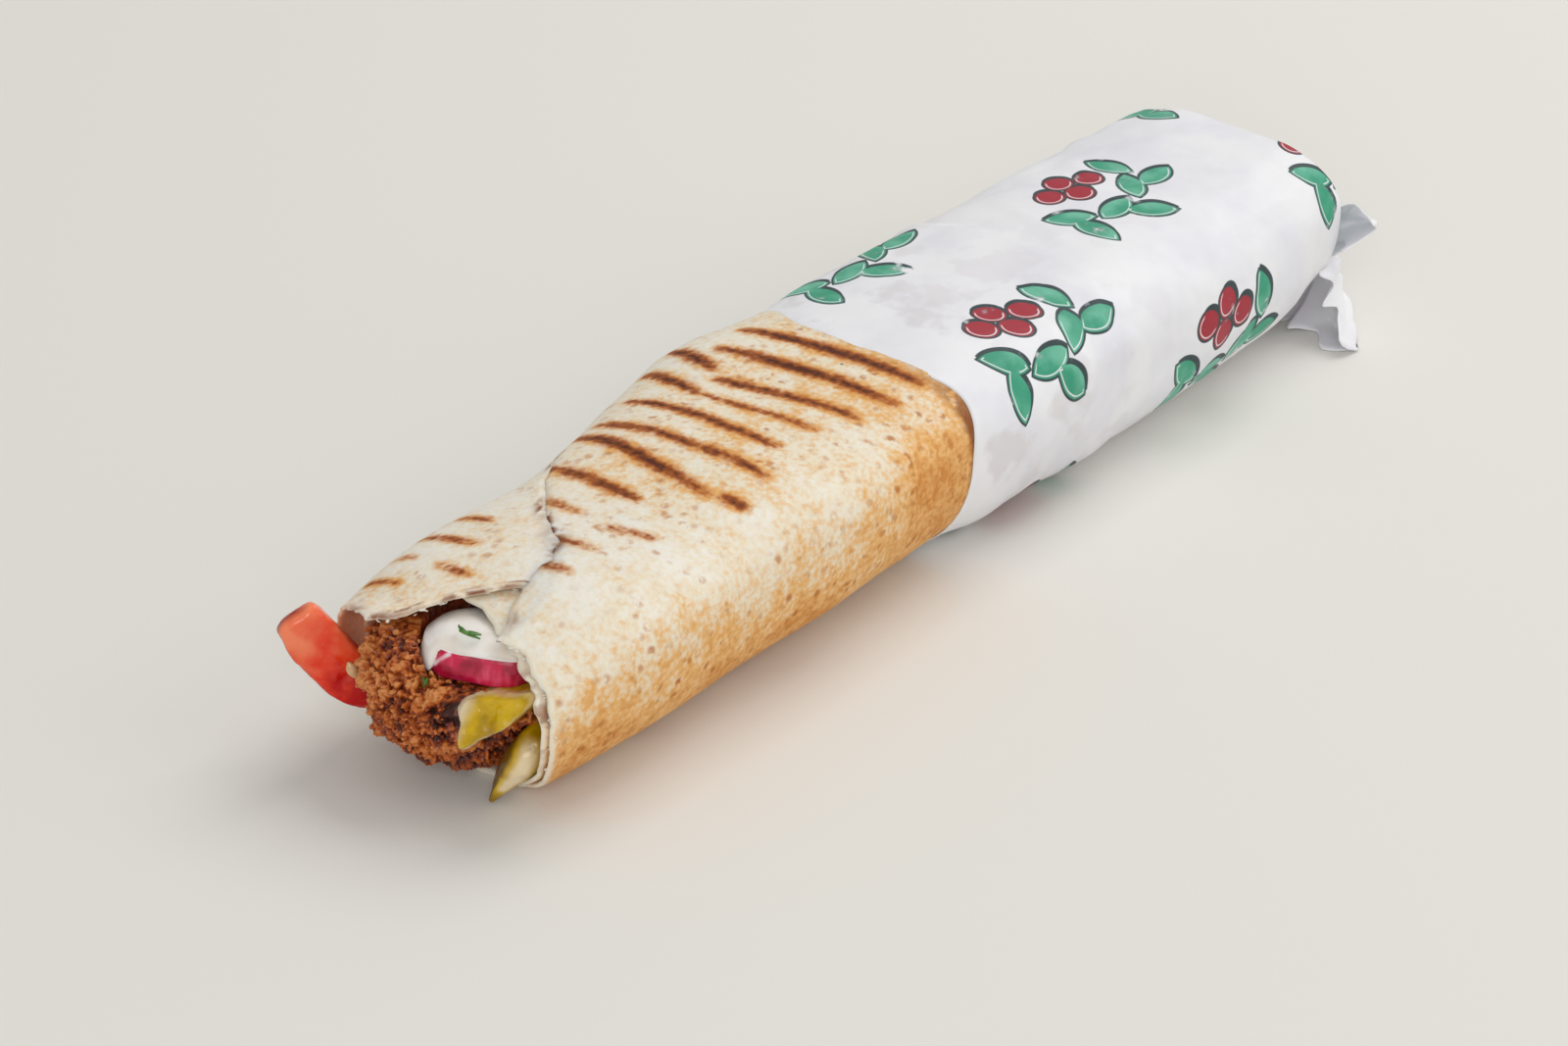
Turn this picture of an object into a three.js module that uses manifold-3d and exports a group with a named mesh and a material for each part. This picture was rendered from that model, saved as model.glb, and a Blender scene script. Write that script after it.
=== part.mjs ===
// Half of a falafel wrap, lying on its side with its cut end open and the other half still in its paper.
//
// One flatbread is rolled a little over two turns round the filling. Its outer edge runs slanting over
// the top near the cut end, so two inner turns show beside it. The filling is falafel, with a strip of
// tomato, a slice of radish and two wedges of pickle that look out of the cut end. A paper sleeve covers
// the far half and ends in a gathered tail.
//
// Millimetres, +Z up. X runs from the cut end to the paper's tail, and the filling looks towards -X.
// Places along the roll are measured from the cut end. A turn is an angle in degrees round the roll:
// 0 at the +Y side, 90 at the top, 180 at the -Y side, 270 underneath, and 360 more for each turn inwards.

import * as THREE from "three";
import { mergeVertices } from "three/addons/utils/BufferGeometryUtils.js";
import Module from "manifold-3d";

const wasm = await Module();
wasm.setup();

// ---- Driving dimensions ----

// The roll's section, each value given where it changes: [distance from the cut end, value].
const HALF_WIDTH = [
  [0, 30.8], [28, 33.2], [60, 31], [90, 35], [115, 37.2], [135, 35.6], [155, 34.4], [215, 33.4], [255, 33.2], [286, 30.6],
];
const HEIGHT = [[0, 39], [25, 42.5], [60, 44], [110, 45.4], [150, 45], [250, 45], [286, 43.6]];
const MIDDLE = [[0, -5.2], [28, -6], [60, -7.6], [90, -5.4], [115, -2.6], [150, -4.2], [215, -6.4], [286, -5.9]];
const TOP_SQUARENESS = [[0, 2.3], [22, 2.8], [60, 3]];
const BOTTOM_SQUARENESS = 2.15;
const WAIST_SHARE = 0.6; // the widest level, as a share of the height
const FLAT_UNDERSIDE = 1; // how much of the round underside is pressed flat
const HEEL = { from: 250, to: 286, turn: 222, spread: 34, depth: 4 }; // the far end's lower corner, tucked in

// Flatbread
const BREAD_THICKNESS = 1.4;
const LAYER_GAP = 0.3;
const PITCH = BREAD_THICKNESS + LAYER_GAP; // how far each turn lies inside the one before
const BREAD_LENGTH = 276;
const INNER_EDGE_TURN = 935; // where the sheet's inner edge lies
const FLAP_EDGE = [[0, 113], [16, 99], [40, 81], [56, 51], [100, -5]]; // turn of the outer edge along the roll
const CUT_EDGE = [
  [100, 1.5], [125, 2.2], [142, 1.2], [162, -0.8], [198, -0.8], [236, 4.5], [250, 6], [290, 6], [330, 1],
  [390, -1], [412, -4], [434, -5], [445, 5], [457, 17], [478, 4], [490, 1.2], [505, 0], [520, -2], [556, -2],
  [576, 0.5], [603, 4.5], [630, 6], [720, 7], [798, 13], [812, 10], [824, 6.5], [836, 4.5], [935, 4],
]; // how far each turn's front edge stands back from the cut
const CUT_EDGE_REACH = 70; // how far along the roll the front edge's shape fades out
const LUMP_HEIGHT = 0.7; // the filling shows through the top as low lumps
const LUMP_LENGTH = 61;

// Paper sleeve
const PAPER_THICKNESS = 0.5;
const PAPER_FROM = 133.5;
const PAPER_EDGE_WAVE = [[0, 3], [48, 2.5], [80, -1.2], [136, 4], [180, 0.5], [215, -1.5], [300, -1.5], [360, 3]];
const PAPER_STAND_OFF = 2.1; // its outside, measured from the roll's plain section
const PAPER_FLOOR = 0.85; // the bread inside lies this much above the table
const PAPER_CRUMPLE = 0.9;
const SLEEVE_END = 284;
const NECK = { x: 290, y: -18, z: 15, radius: 7.5, length: 4.5 }; // where the paper is gathered
const TAIL = { radius: 15, ear: 14, earTurn: 150, earSpread: 16, skirt: 17, skirtTurn: 206, skirtSpread: 20 };
const TAIL_BACK = 6; // how far the tail reaches past its neck
const TAIL_LEAN = { reach: 24, turn: 205, spread: 65 }; // how its -Y side is bent forwards again
const PLEATS = 12;

// Filling
const FALAFEL = { from: -12, to: 266, pitch: 36, pinch: 0.13, crag: 1.5, cragSize: 6 };
const FRONT_BALL = { x: 9, y: -1.6, z: 19.3, reach: 21, half: 22.3, up: 17, down: 16.8 };
const BALL_OUTLINE = [
  [0, 0.79], [16, 0.84], [32, 1.07], [50, 1.07], [75, 1], [180, 1], [224, 0.88], [238, 0.95], [252, 1.08],
  [260, 0.98], [270, 0.8], [300, 0.78], [335, 0.77], [360, 0.79],
]; // how far the front ball stands out at each angle, as a share
const CLEARANCE = 0.35; // between touching pieces
const ROOM_CLEARANCE = 0.6; // between the bread's inside and the filling
const RADISH = { radius: 13.4, thickness: 6.4, x: 8, y: -10.9, z: 29.5, lean: 9, chord: 11.2 };
const TOMATO = {
  path: [[26, 11, 14], [12, 12, 14], [2, 13.8, 14.8], [-4, 17.2, 18], [-7.8, 21.8, 25.6], [-11.2, 26.2, 33.4]],
  halfWidth: 5.4,
  halfThickness: 2.8,
};
const PICKLE_CHUNK = {
  outline: [
    [-17.1, 16.1], [-15.6, 20.6], [-13.8, 23.2], [-15, 26], [-19, 27.2], [-24, 27.4], [-28.4, 28.2], [-29.2, 27],
    [-25.8, 22.8], [-21.5, 18.8],
  ],
  from: -4.4,
  slant: 0.22, // how much further back its face is towards -Y
  tilt: 0.55, // and towards the top
  length: 46,
};
const PICKLE_WEDGE = {
  path: [
    [-1.5, -18.8, 1.2], [0, -20, 4], [0.8, -21.9, 7.6], [2.4, -24.8, 12], [7, -25.6, 14.2], [20, -26.4, 14.8],
    [50, -26.5, 15],
  ],
  radii: [0.5, 1.5, 2.6, 3.6, 3.9, 4, 3.8],
  tall: 1.2,
};

// ---- Small helpers ----

const degrees = Math.PI / 180;
const mix = (a, b, share) => a + (b - a) * share;
const clamp01 = (v) => Math.min(1, Math.max(0, v));
const signedPower = (v, power) => Math.sign(v) * Math.abs(v) ** power;

function ramp(from, to, v) {
  const t = clamp01((v - from) / (to - from));
  return t * t * (3 - 2 * t);
}

// A round bump of height 1 about one turn, with the given spread.
function bump(turn, centre, spread) {
  const away = ((turn - centre + 540) % 360) - 180;
  return Math.exp(-((away / spread) ** 2));
}

// A smooth curve through knots of [place, value], level before the first and after the last.
function profile(knots, at) {
  const last = knots.length - 1;
  if (at <= knots[0][0]) return knots[0][1];
  if (at >= knots[last][0]) return knots[last][1];
  const i = knots.findIndex((knot) => knot[0] > at) - 1;
  const slope = (k) => (knots[k + 1][1] - knots[k][1]) / (knots[k + 1][0] - knots[k][0]);
  const startSlope = i > 0 ? (slope(i - 1) + slope(i)) / 2 : slope(i);
  const endSlope = i + 1 < last ? (slope(i) + slope(i + 1)) / 2 : slope(i);
  const span = knots[i + 1][0] - knots[i][0];
  const t = (at - knots[i][0]) / span;
  const rise = t * t * (3 - 2 * t);
  const bend = t * (1 - t) * span * ((1 - t) * startSlope - t * endSlope);
  return mix(knots[i][1], knots[i + 1][1], rise) + bend;
}

// A repeatable random value from 0 to 1 for a whole-numbered place.
function draw(i, j, k) {
  const v = Math.sin(i * 127.1 + j * 311.7 + k * 74.7) * 43758.5453;
  return v - Math.floor(v);
}

// Smooth noise from -1 to 1, with bumps about one unit across.
function noise(x, y, z) {
  const [i, j, k] = [x, y, z].map(Math.floor);
  const [u, v, w] = [x - i, y - j, z - k].map((t) => t * t * (3 - 2 * t));
  const edge = (b, c) => mix(draw(i, j + b, k + c), draw(i + 1, j + b, k + c), u);
  return 2 * mix(mix(edge(0, 0), edge(1, 0), v), mix(edge(0, 1), edge(1, 1), v), w) - 1;
}

// ---- Closed bodies ----

// A geometry from points and triangles, turned round where its faces would point inwards.
function closedGeometry(points, faces) {
  const volume = faces.reduce((sum, [a, b, c]) => sum + points[a].dot(points[b].clone().cross(points[c])), 0);
  const index = faces.flatMap(([a, b, c]) => (volume > 0 ? [a, b, c] : [a, c, b]));
  const geometry = new THREE.BufferGeometry().setFromPoints(points);
  geometry.setIndex(index);
  return geometry;
}

// A thin solid between two grids of points, each given as rows. Where it goes right round, the first and
// last places of a row are neighbours.
function sheetGeometry(outer, inner, goesRound) {
  const rows = outer.length;
  const places = outer[0].length;
  const points = [...outer.flat(), ...inner.flat()];
  const at = (side, row, place) => side * rows * places + row * places + (place % places);
  const faces = [];
  const quad = (a, b, c, d) => faces.push([a, b, c], [a, c, d]);
  const across = goesRound ? places : places - 1;
  for (let row = 0; row + 1 < rows; row++) {
    for (let place = 0; place < across; place++) {
      const corners = (side) => [
        at(side, row, place), at(side, row + 1, place), at(side, row + 1, place + 1), at(side, row, place + 1),
      ];
      quad(...corners(0));
      const [a, b, c, d] = corners(1);
      faces.push([c, b, a], [d, c, a]);
    }
  }
  for (let place = 0; place < across; place++) {
    quad(at(0, 0, place), at(0, 0, place + 1), at(1, 0, place + 1), at(1, 0, place));
    quad(at(0, rows - 1, place + 1), at(0, rows - 1, place), at(1, rows - 1, place), at(1, rows - 1, place + 1));
  }
  if (!goesRound) {
    for (let row = 0; row + 1 < rows; row++) {
      quad(at(0, row + 1, 0), at(0, row, 0), at(1, row, 0), at(1, row + 1, 0));
      quad(at(0, row, places - 1), at(0, row + 1, places - 1), at(1, row + 1, places - 1), at(1, row, places - 1));
    }
  }
  return closedGeometry(points, faces);
}

// A solid through closed rings of points, with both ends closed to their middles.
function loftGeometry(rings) {
  const size = rings[0].length;
  const points = rings.flat();
  const faces = [];
  for (let ring = 0; ring + 1 < rings.length; ring++) {
    for (let i = 0; i < size; i++) {
      const a = ring * size + i;
      const b = ring * size + ((i + 1) % size);
      faces.push([a, b, b + size], [a, b + size, a + size]);
    }
  }
  for (const [ring, turnedRound] of [[0, true], [rings.length - 1, false]]) {
    const middle = rings[ring].reduce((sum, p) => sum.add(p), new THREE.Vector3()).divideScalar(size);
    const tip = points.push(middle) - 1;
    for (let i = 0; i < size; i++) {
      const a = ring * size + i;
      const b = ring * size + ((i + 1) % size);
      faces.push(turnedRound ? [b, a, tip] : [a, b, tip]);
    }
  }
  return closedGeometry(points, faces);
}

// Rings round a path, each a rounded box of the given half sizes, the first along "side".
function ringsAlong(path, side, sizeAt, squareness, count) {
  const curve = new THREE.CatmullRomCurve3(path.map((p) => new THREE.Vector3(...p)));
  const steps = 2 * (path.length - 1);
  return Array.from({ length: steps + 1 }, (_, step) => {
    const share = step / steps;
    const centre = curve.getPoint(share);
    const ahead = curve.getTangent(share);
    const wide = side.clone().addScaledVector(ahead, -side.dot(ahead)).normalize();
    const thick = ahead.clone().cross(wide);
    const [halfWide, halfThick] = sizeAt(share);
    return Array.from({ length: count }, (_, i) => {
      const turn = (2 * Math.PI * i) / count;
      const u = halfWide * signedPower(Math.cos(turn), 2 / squareness);
      const v = halfThick * signedPower(Math.sin(turn), 2 / squareness);
      return centre.clone().addScaledVector(wide, u).addScaledVector(thick, v);
    });
  });
}

// ---- Joins and cuts ----

function toSolid(geometry) {
  const bare = geometry.clone();
  bare.deleteAttribute("normal");
  bare.deleteAttribute("uv");
  const merged = mergeVertices(bare);
  return new wasm.Manifold(
    new wasm.Mesh({
      numProp: 3,
      vertProperties: merged.attributes.position.array,
      triVerts: new Uint32Array(merged.index.array),
    }),
  );
}

function toGeometry(solid) {
  const mesh = solid.getMesh();
  return new THREE.BufferGeometry()
    .setAttribute("position", new THREE.BufferAttribute(mesh.vertProperties, 3))
    .setIndex(new THREE.BufferAttribute(mesh.triVerts, 1));
}

// ---- The roll ----

// A point on the roll's section, "depth" inside its plain outside, never under "floor".
function rollPoint(x, turn, depth, floor) {
  const half = profile(HALF_WIDTH, x);
  const height = profile(HEIGHT, x);
  const waist = WAIST_SHARE * height;
  const tucked = HEEL.depth * ramp(HEEL.from, HEEL.to, x) * bump(turn, HEEL.turn, HEEL.spread);
  const inwards = depth + tucked;
  const [c, s] = [Math.cos(turn * degrees), Math.sin(turn * degrees)];
  const power = 2 / (s > 0 ? profile(TOP_SQUARENESS, x) : BOTTOM_SQUARENESS);
  const y = profile(MIDDLE, x) + (half - inwards) * signedPower(c, power);
  const reach = s > 0 ? height - waist - inwards : waist + FLAT_UNDERSIDE - inwards;
  const z = waist + reach * signedPower(s, power);
  return new THREE.Vector3(x, y, Math.max(z, floor + Math.max(depth, 0)));
}

// Low lumps over the filling, on the upper half only and fading out under the paper.
function lump(x, turn) {
  const up = Math.max(0, Math.sin(turn * degrees));
  const wave = Math.sin((2 * Math.PI * x) / LUMP_LENGTH + 1.4 * Math.cos(turn * degrees));
  return LUMP_HEIGHT * up * wave * ramp(138, 112, x);
}

const breadFloor = (x) => PAPER_FLOOR * ramp(98, 122, x);

function flatbread() {
  const along = [0, 4, 9, 15, 21, 28, 36, 45, 55, 66, 78, 91, 104, 118, 134, 158, 186, 216, 248, BREAD_LENGTH];
  const steps = 66;
  const face = (inside) =>
    along.map((place) =>
      Array.from({ length: steps + 1 }, (_, i) => {
        const turn = mix(profile(FLAP_EDGE, place), INNER_EDGE_TURN, i / steps);
        const fade = Math.max(0, 1 - place / CUT_EDGE_REACH) ** 2;
        const x = place + profile(CUT_EDGE, turn) * fade;
        const depth = (PITCH * (turn - 270)) / 360 - lump(x, turn);
        return rollPoint(x, turn, depth + inside * BREAD_THICKNESS, breadFloor(x));
      }),
    );
  return sheetGeometry(face(0), face(1), false);
}

// ---- Paper sleeve ----

// A point of the sleeve's outside, from its front edge to the end of its tube.
function sleevePoint(x, turn) {
  const crumple = PAPER_CRUMPLE * Math.max(0, noise(x / 26, 3 * Math.cos(turn * degrees), 3 * Math.sin(turn * degrees)));
  return rollPoint(x, turn, -PAPER_STAND_OFF - crumple, 0);
}

// A point of the gathered end: "share" goes from 0 at the tube's end to 1 at the neck.
function gatherPoint(share, turn) {
  const rim = sleevePoint(SLEEVE_END, turn);
  const pleat = 1 + 0.1 * Math.cos(PLEATS * turn * degrees);
  const y = NECK.y + NECK.radius * pleat * Math.cos(turn * degrees);
  const z = NECK.z + NECK.radius * pleat * Math.sin(turn * degrees);
  const x = mix(SLEEVE_END, NECK.x, share ** 0.7);
  return new THREE.Vector3(x, mix(rim.y, y, share), mix(rim.z, z, share));
}

// A point of the tail past the neck: "share" goes from 0 at the neck to 1 at the paper's end.
function tailPoint(share, turn) {
  const { radius, ear, earTurn, earSpread, skirt, skirtTurn, skirtSpread } = TAIL;
  const rim = radius + ear * bump(turn, earTurn, earSpread) + skirt * bump(turn, skirtTurn, skirtSpread);
  const pleat = 1 + 0.07 * Math.cos(PLEATS * turn * degrees);
  const r = mix(NECK.radius, rim, share) * pleat;
  const lean = TAIL_LEAN.reach * bump(turn, TAIL_LEAN.turn, TAIL_LEAN.spread) * share * share;
  const x = NECK.x + NECK.length + TAIL_BACK * share - lean;
  const z = NECK.z + r * Math.sin(turn * degrees);
  return new THREE.Vector3(x, NECK.y + r * Math.cos(turn * degrees), Math.max(z, PAPER_THICKNESS));
}

function paperSleeve() {
  const around = 48;
  const tube = [143, 156, 172, 190, 208, 226, 244, 258, 270, 279];
  const turns = Array.from({ length: around }, (_, i) => (360 * i) / around);
  const outer = [
    turns.map((turn) => sleevePoint(PAPER_FROM + profile(PAPER_EDGE_WAVE, turn), turn)),
    ...tube.map((x) => turns.map((turn) => sleevePoint(x, turn))),
    ...[0, 0.12, 0.35, 0.65, 1].map((share) => turns.map((turn) => gatherPoint(share, turn))),
    ...[0, 0.35, 0.7, 1].map((share) => turns.map((turn) => tailPoint(share, turn))),
  ];
  const inner = outer.map((row, i) =>
    row.map((point, j) => {
      const before = outer[Math.max(i - 1, 0)][j];
      const after = outer[Math.min(i + 1, outer.length - 1)][j];
      const left = row[(j + around - 1) % around];
      const right = row[(j + 1) % around];
      const out = right.clone().sub(left).cross(after.clone().sub(before)).normalize();
      return point.clone().addScaledVector(out, -PAPER_THICKNESS);
    }),
  );
  return sheetGeometry(outer, inner, true);
}

// ---- Filling ----

// How deep the innermost turn of bread reaches, with the filling's clearance: three turns at the top,
// two underneath.
function roomDepth(turn) {
  const innermost = mix(turn + 720, turn + 360, ramp(222, 245, turn));
  return (PITCH * (innermost - 270)) / 360 + BREAD_THICKNESS + ROOM_CLEARANCE;
}

// The room inside the roll, open and wide in front of the cut, which stands further back underneath.
function room() {
  const turns = Array.from({ length: 40 }, (_, i) => 9 * i);
  const ring = (x, depthAt) => turns.map((turn) => rollPoint(x, turn, depthAt(turn) - lump(x, turn), breadFloor(x)));
  const outside = (x) => ring(0, () => -14).map((p) => p.setX(x));
  const underneath = (turn) => ramp(222, 238, turn) * ramp(335, 315, turn);
  const besideCut = (x) => ring(x, (turn) => mix(roomDepth(turn), -14, underneath(turn)));
  const within = [2.6, 8, 15, 25, 35, 50, 65, 80, 95, 110, 125, 145, 170, 200, 230, 255, 272];
  const cut = [outside(-40), outside(-3), besideCut(-2.6), besideCut(0.6)];
  return toSolid(loftGeometry([...cut, ...within.map((x) => ring(x, roomDepth))]));
}

// Falafel pressed together in a row: craggy balls that run through the roll.
function falafel() {
  const { from, to, pitch, pinch, crag, cragSize } = FALAFEL;
  const ball = FRONT_BALL;
  const steps = 34;
  const around = 20;
  const rings = Array.from({ length: steps + 1 }, (_, step) => {
    const x = mix(from, to, (step / steps) ** 1.25);
    const inside = ramp(18, 50, x);
    const front = (1 - clamp01((ball.x - x) / (ball.reach + 0.2)) ** 2.3) ** (1 / 2.3);
    const back = Math.sqrt(1 - clamp01((x - to + ball.reach) / (ball.reach + 0.4)) ** 2);
    const waist = 1 - pinch * (1 - Math.cos((2 * Math.PI * (x - ball.x)) / pitch)) * 0.5;
    const size = front * back * waist;
    const across = mix(ball.half, profile(HALF_WIDTH, x) - 7.2, inside) * size;
    const up = mix(ball.up, profile(HEIGHT, x) - ball.z - 7.2, inside) * size;
    const down = mix(ball.down, ball.z - 6, inside) * size;
    const middle = mix(ball.y, profile(MIDDLE, x), inside);
    return Array.from({ length: around }, (_, i) => {
      const angle = (360 * (i + 0.5 * (step % 2))) / around;
      const shaped = mix(profile(BALL_OUTLINE, angle), 1, inside);
      const [c, s] = [Math.cos(angle * degrees), Math.sin(angle * degrees)];
      const relief = crag * Math.sqrt(size) * noise(x / cragSize, (across * c) / cragSize, (up * s) / cragSize);
      const y = middle + (across * shaped + relief) * c;
      return new THREE.Vector3(x, y, ball.z + ((s > 0 ? up : down) * shaped + relief) * s);
    });
  });
  return toSolid(loftGeometry(rings));
}

function radish(grow) {
  const { radius, thickness, lean, chord, x, y, z } = RADISH;
  const half = thickness / 2 + grow;
  const rim = radius + grow;
  const section = [[0, -half], [rim - 1.4, -half], [rim - 0.3, -half * 0.5], [rim, half * 0.2], [rim - 0.5, half], [0, half]];
  const slice = new THREE.LatheGeometry(section.map((p) => new THREE.Vector2(...p)), 36);
  slice.rotateX(Math.PI / 2);
  const cut = new THREE.BoxGeometry(40, 40, 40);
  cut.translate(-20 - chord - grow, 0, 0);
  cut.rotateZ(28 * degrees);
  const placed = toGeometry(toSolid(slice).subtract(toSolid(cut)));
  placed.rotateY(lean * degrees);
  placed.translate(x, y, z);
  return toSolid(placed);
}

function tomato(grow) {
  const side = new THREE.Vector3(0.74, -0.46, 0.49);
  const size = (share) => {
    const rounded = Math.sqrt(1 - clamp01(Math.abs(2 * share - 1) * 1.02 - 0.02) ** 8) * 0.35 + 0.65;
    return [TOMATO.halfWidth * rounded + grow, TOMATO.halfThickness * rounded + grow];
  };
  return toSolid(loftGeometry(ringsAlong(TOMATO.path, side, size, 3.2, 16)));
}

function pickleChunk(grow) {
  const { outline, from, slant, tilt, length } = PICKLE_CHUNK;
  const curve = new THREE.CatmullRomCurve3(outline.map(([y, z]) => new THREE.Vector3(0, y, z)), true, "catmullrom", 0.35);
  const edge = curve.getSpacedPoints(20).slice(0, 20);
  const middle = edge.reduce((sum, p) => sum.add(p), new THREE.Vector3()).divideScalar(edge.length);
  const rings = [[0, 0.84], [0.03, 1], [0.4, 0.95], [1, 0.7]].map(([share, size]) =>
    edge.map((p) => {
      const out = p.clone().sub(middle);
      const far = out.length();
      const place = middle.clone().addScaledVector(out, (far * size + grow) / far);
      const leaning = tilt * (place.z - middle.z) * (1 - share);
      const x = from + share * length + slant * (middle.y - place.y) + leaning - (1 - 2 * share) * grow;
      return place.setX(x);
    }),
  );
  return toSolid(loftGeometry(rings));
}

function pickleWedge(grow) {
  const { path, radii, tall } = PICKLE_WEDGE;
  const knots = radii.map((r, i) => [i / (radii.length - 1), r]);
  const size = (share) => [profile(knots, share) + grow, profile(knots, share) * tall + grow];
  return toSolid(loftGeometry(ringsAlong(path, new THREE.Vector3(0.3, 1, 0), size, 2.1, 14)));
}

function filling() {
  const space = room();
  const pieces = { pickle_chunk: pickleChunk, pickle_wedge: pickleWedge, radish_slice: radish, tomato_strip: tomato };
  const placed = {};
  let grown = [];
  for (const [name, build] of Object.entries(pieces)) {
    placed[name] = grown.reduce((solid, other) => solid.subtract(other), build(0)).intersect(space);
    grown = [...grown, build(CLEARANCE)];
  }
  const overRadish = [3, 6, 9].map((rise) => radish(CLEARANCE).translate([0, 0, rise]));
  const cuts = [...grown, ...overRadish];
  placed.falafel = cuts.reduce((solid, other) => solid.subtract(other), falafel()).intersect(space);
  return placed;
}

// The largest body of a solid: cuts can leave loose scraps.
function largestBody(solid) {
  return solid.decompose().reduce((best, body) => (body.volume() > best.volume() ? body : best));
}

// ---- The wrap ----

const FINISHES = {
  flatbread: { color: 0xe9d9bd, roughness: 0.75 },
  paper_sleeve: { color: 0xe6e6ec, roughness: 0.55 },
  falafel: { color: 0x7a4a24, roughness: 0.9 },
  tomato_strip: { color: 0xd8452f, roughness: 0.3 },
  radish_slice: { color: 0xf1ece8, roughness: 0.35 },
  pickle_chunk: { color: 0xb3ad3c, roughness: 0.35 },
  pickle_wedge: { color: 0x8f9440, roughness: 0.35 },
};

const wrap = new THREE.Group();
wrap.name = "falafel_wrap_half";

function addPiece(name, geometry) {
  geometry.computeVertexNormals();
  const mesh = new THREE.Mesh(geometry, new THREE.MeshStandardMaterial({ metalness: 0, ...FINISHES[name] }));
  mesh.name = name;
  wrap.add(mesh);
}

addPiece("flatbread", flatbread());
addPiece("paper_sleeve", paperSleeve());
for (const [name, solid] of Object.entries(filling())) addPiece(name, toGeometry(largestBody(solid)));

// The origin lies under the middle of the whole, on the table.
const box = new THREE.Box3().setFromObject(wrap);
const middle = box.getCenter(new THREE.Vector3());
wrap.position.set(-middle.x, -middle.y, -box.min.z);

export default wrap;
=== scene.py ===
"""The looks of half a falafel wrap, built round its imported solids.

Shapes are worked out in the roll's own frame, in millimetres: x runs from the cut end to the paper's tail,
y across, and z up from the table. A turn is an angle in degrees round the roll: 0 at the +y side, 90 at the
top, 180 at the -y side, 270 underneath, and 360 more for each turn inwards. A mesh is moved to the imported
frame and to metres when it is made.
"""

import logging
import math
from dataclasses import dataclass, field
from enum import Enum
from itertools import product
from typing import Any, Sequence

import bmesh
import bpy
import numpy as np
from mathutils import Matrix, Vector

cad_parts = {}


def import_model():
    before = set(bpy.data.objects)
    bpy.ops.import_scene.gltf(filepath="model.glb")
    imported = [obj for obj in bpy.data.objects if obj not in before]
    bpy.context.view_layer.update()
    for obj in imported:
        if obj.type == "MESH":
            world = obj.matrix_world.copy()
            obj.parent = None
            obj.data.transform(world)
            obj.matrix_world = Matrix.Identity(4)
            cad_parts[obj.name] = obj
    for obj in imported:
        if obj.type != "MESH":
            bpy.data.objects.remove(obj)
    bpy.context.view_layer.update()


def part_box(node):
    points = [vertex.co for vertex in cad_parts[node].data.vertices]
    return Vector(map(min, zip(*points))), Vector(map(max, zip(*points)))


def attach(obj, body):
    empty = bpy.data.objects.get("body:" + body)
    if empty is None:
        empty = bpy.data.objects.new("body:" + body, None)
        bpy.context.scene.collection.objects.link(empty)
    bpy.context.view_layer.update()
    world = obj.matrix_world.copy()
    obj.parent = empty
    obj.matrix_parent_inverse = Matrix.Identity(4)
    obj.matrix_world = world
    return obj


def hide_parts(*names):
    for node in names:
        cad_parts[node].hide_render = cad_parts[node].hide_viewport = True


log = logging.getLogger("falafel_wrap")

Knots = Sequence[tuple[float, float]]

METRES = 0.001  # one millimetre


# ---- Numbers and noise ----


def profile(knots: Knots, at: np.ndarray | float) -> np.ndarray:
    """A smooth curve through knots, level before the first and after the last.

    Args:
        knots: pairs of place and value, in rising order of place.
        at: the places asked for.

    Returns:
        The value at each place.
    """
    places, values = np.asarray(knots, float).T
    at = np.clip(np.asarray(at, float), places[0], places[-1])
    i = np.clip(np.searchsorted(places, at, side="right") - 1, 0, len(places) - 2)
    slopes = np.diff(values) / np.diff(places)
    at_knots = np.concatenate((slopes[:1], (slopes[1:] + slopes[:-1]) / 2, slopes[-1:]))
    span = np.diff(places)[i]
    t = (at - places[i]) / span
    rise = t * t * (3 - 2 * t)
    bend = t * (1 - t) * span * ((1 - t) * at_knots[i] - t * at_knots[i + 1])
    return values[i] + (values[i + 1] - values[i]) * rise + bend


def ramp(start: float, end: float, at: np.ndarray | float) -> np.ndarray:
    """A smooth step from 0 at start to 1 at end."""
    t = np.clip((at - start) / (end - start), 0, 1)
    return t * t * (3 - 2 * t)


def bump(turn: np.ndarray, centre: float, spread: float) -> np.ndarray:
    """A round bump of height 1 about one turn, in degrees."""
    away = np.mod(turn - centre + 540, 360) - 180
    return np.exp(-((away / spread) ** 2))


def signed_power(value: np.ndarray, power: np.ndarray | float) -> np.ndarray:
    """The size of a value raised to a power, with its sign kept."""
    return np.sign(value) * np.abs(value) ** power


def mix(a: Any, b: Any, share: Any) -> Any:
    """The value a share of the way from a to b."""
    return a + (b - a) * share


def draw(cell: np.ndarray, seed: int = 0) -> np.ndarray:
    """Repeatable random values from 0 to 1.

    Args:
        cell: whole numbers, three to a cell in the last axis.
        seed: another number gives other values.

    Returns:
        One value for each cell.
    """
    angle = (cell[..., 0] + 17 * seed) * 127.1 + cell[..., 1] * 311.7 + cell[..., 2] * 74.7
    value = np.sin(angle) * 43758.5453
    return value - np.floor(value)


def noise(points: np.ndarray, size: float, seed: int = 0) -> np.ndarray:
    """Smooth noise from -1 to 1.

    Args:
        points: where it is wanted, one point in the last axis.
        size: about how wide its bumps are, in the points' own unit.
        seed: another number gives another noise.

    Returns:
        The noise at each point.
    """
    places = points / size
    base = np.floor(places)
    share = places - base
    share = share * share * (3 - 2 * share)
    total = np.zeros(points.shape[:-1])
    for corner in product((0, 1), repeat=3):
        weight = np.prod(np.where(corner, share, 1 - share), axis=-1)
        total += weight * draw(base + corner, seed)
    return 2 * total - 1


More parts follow.
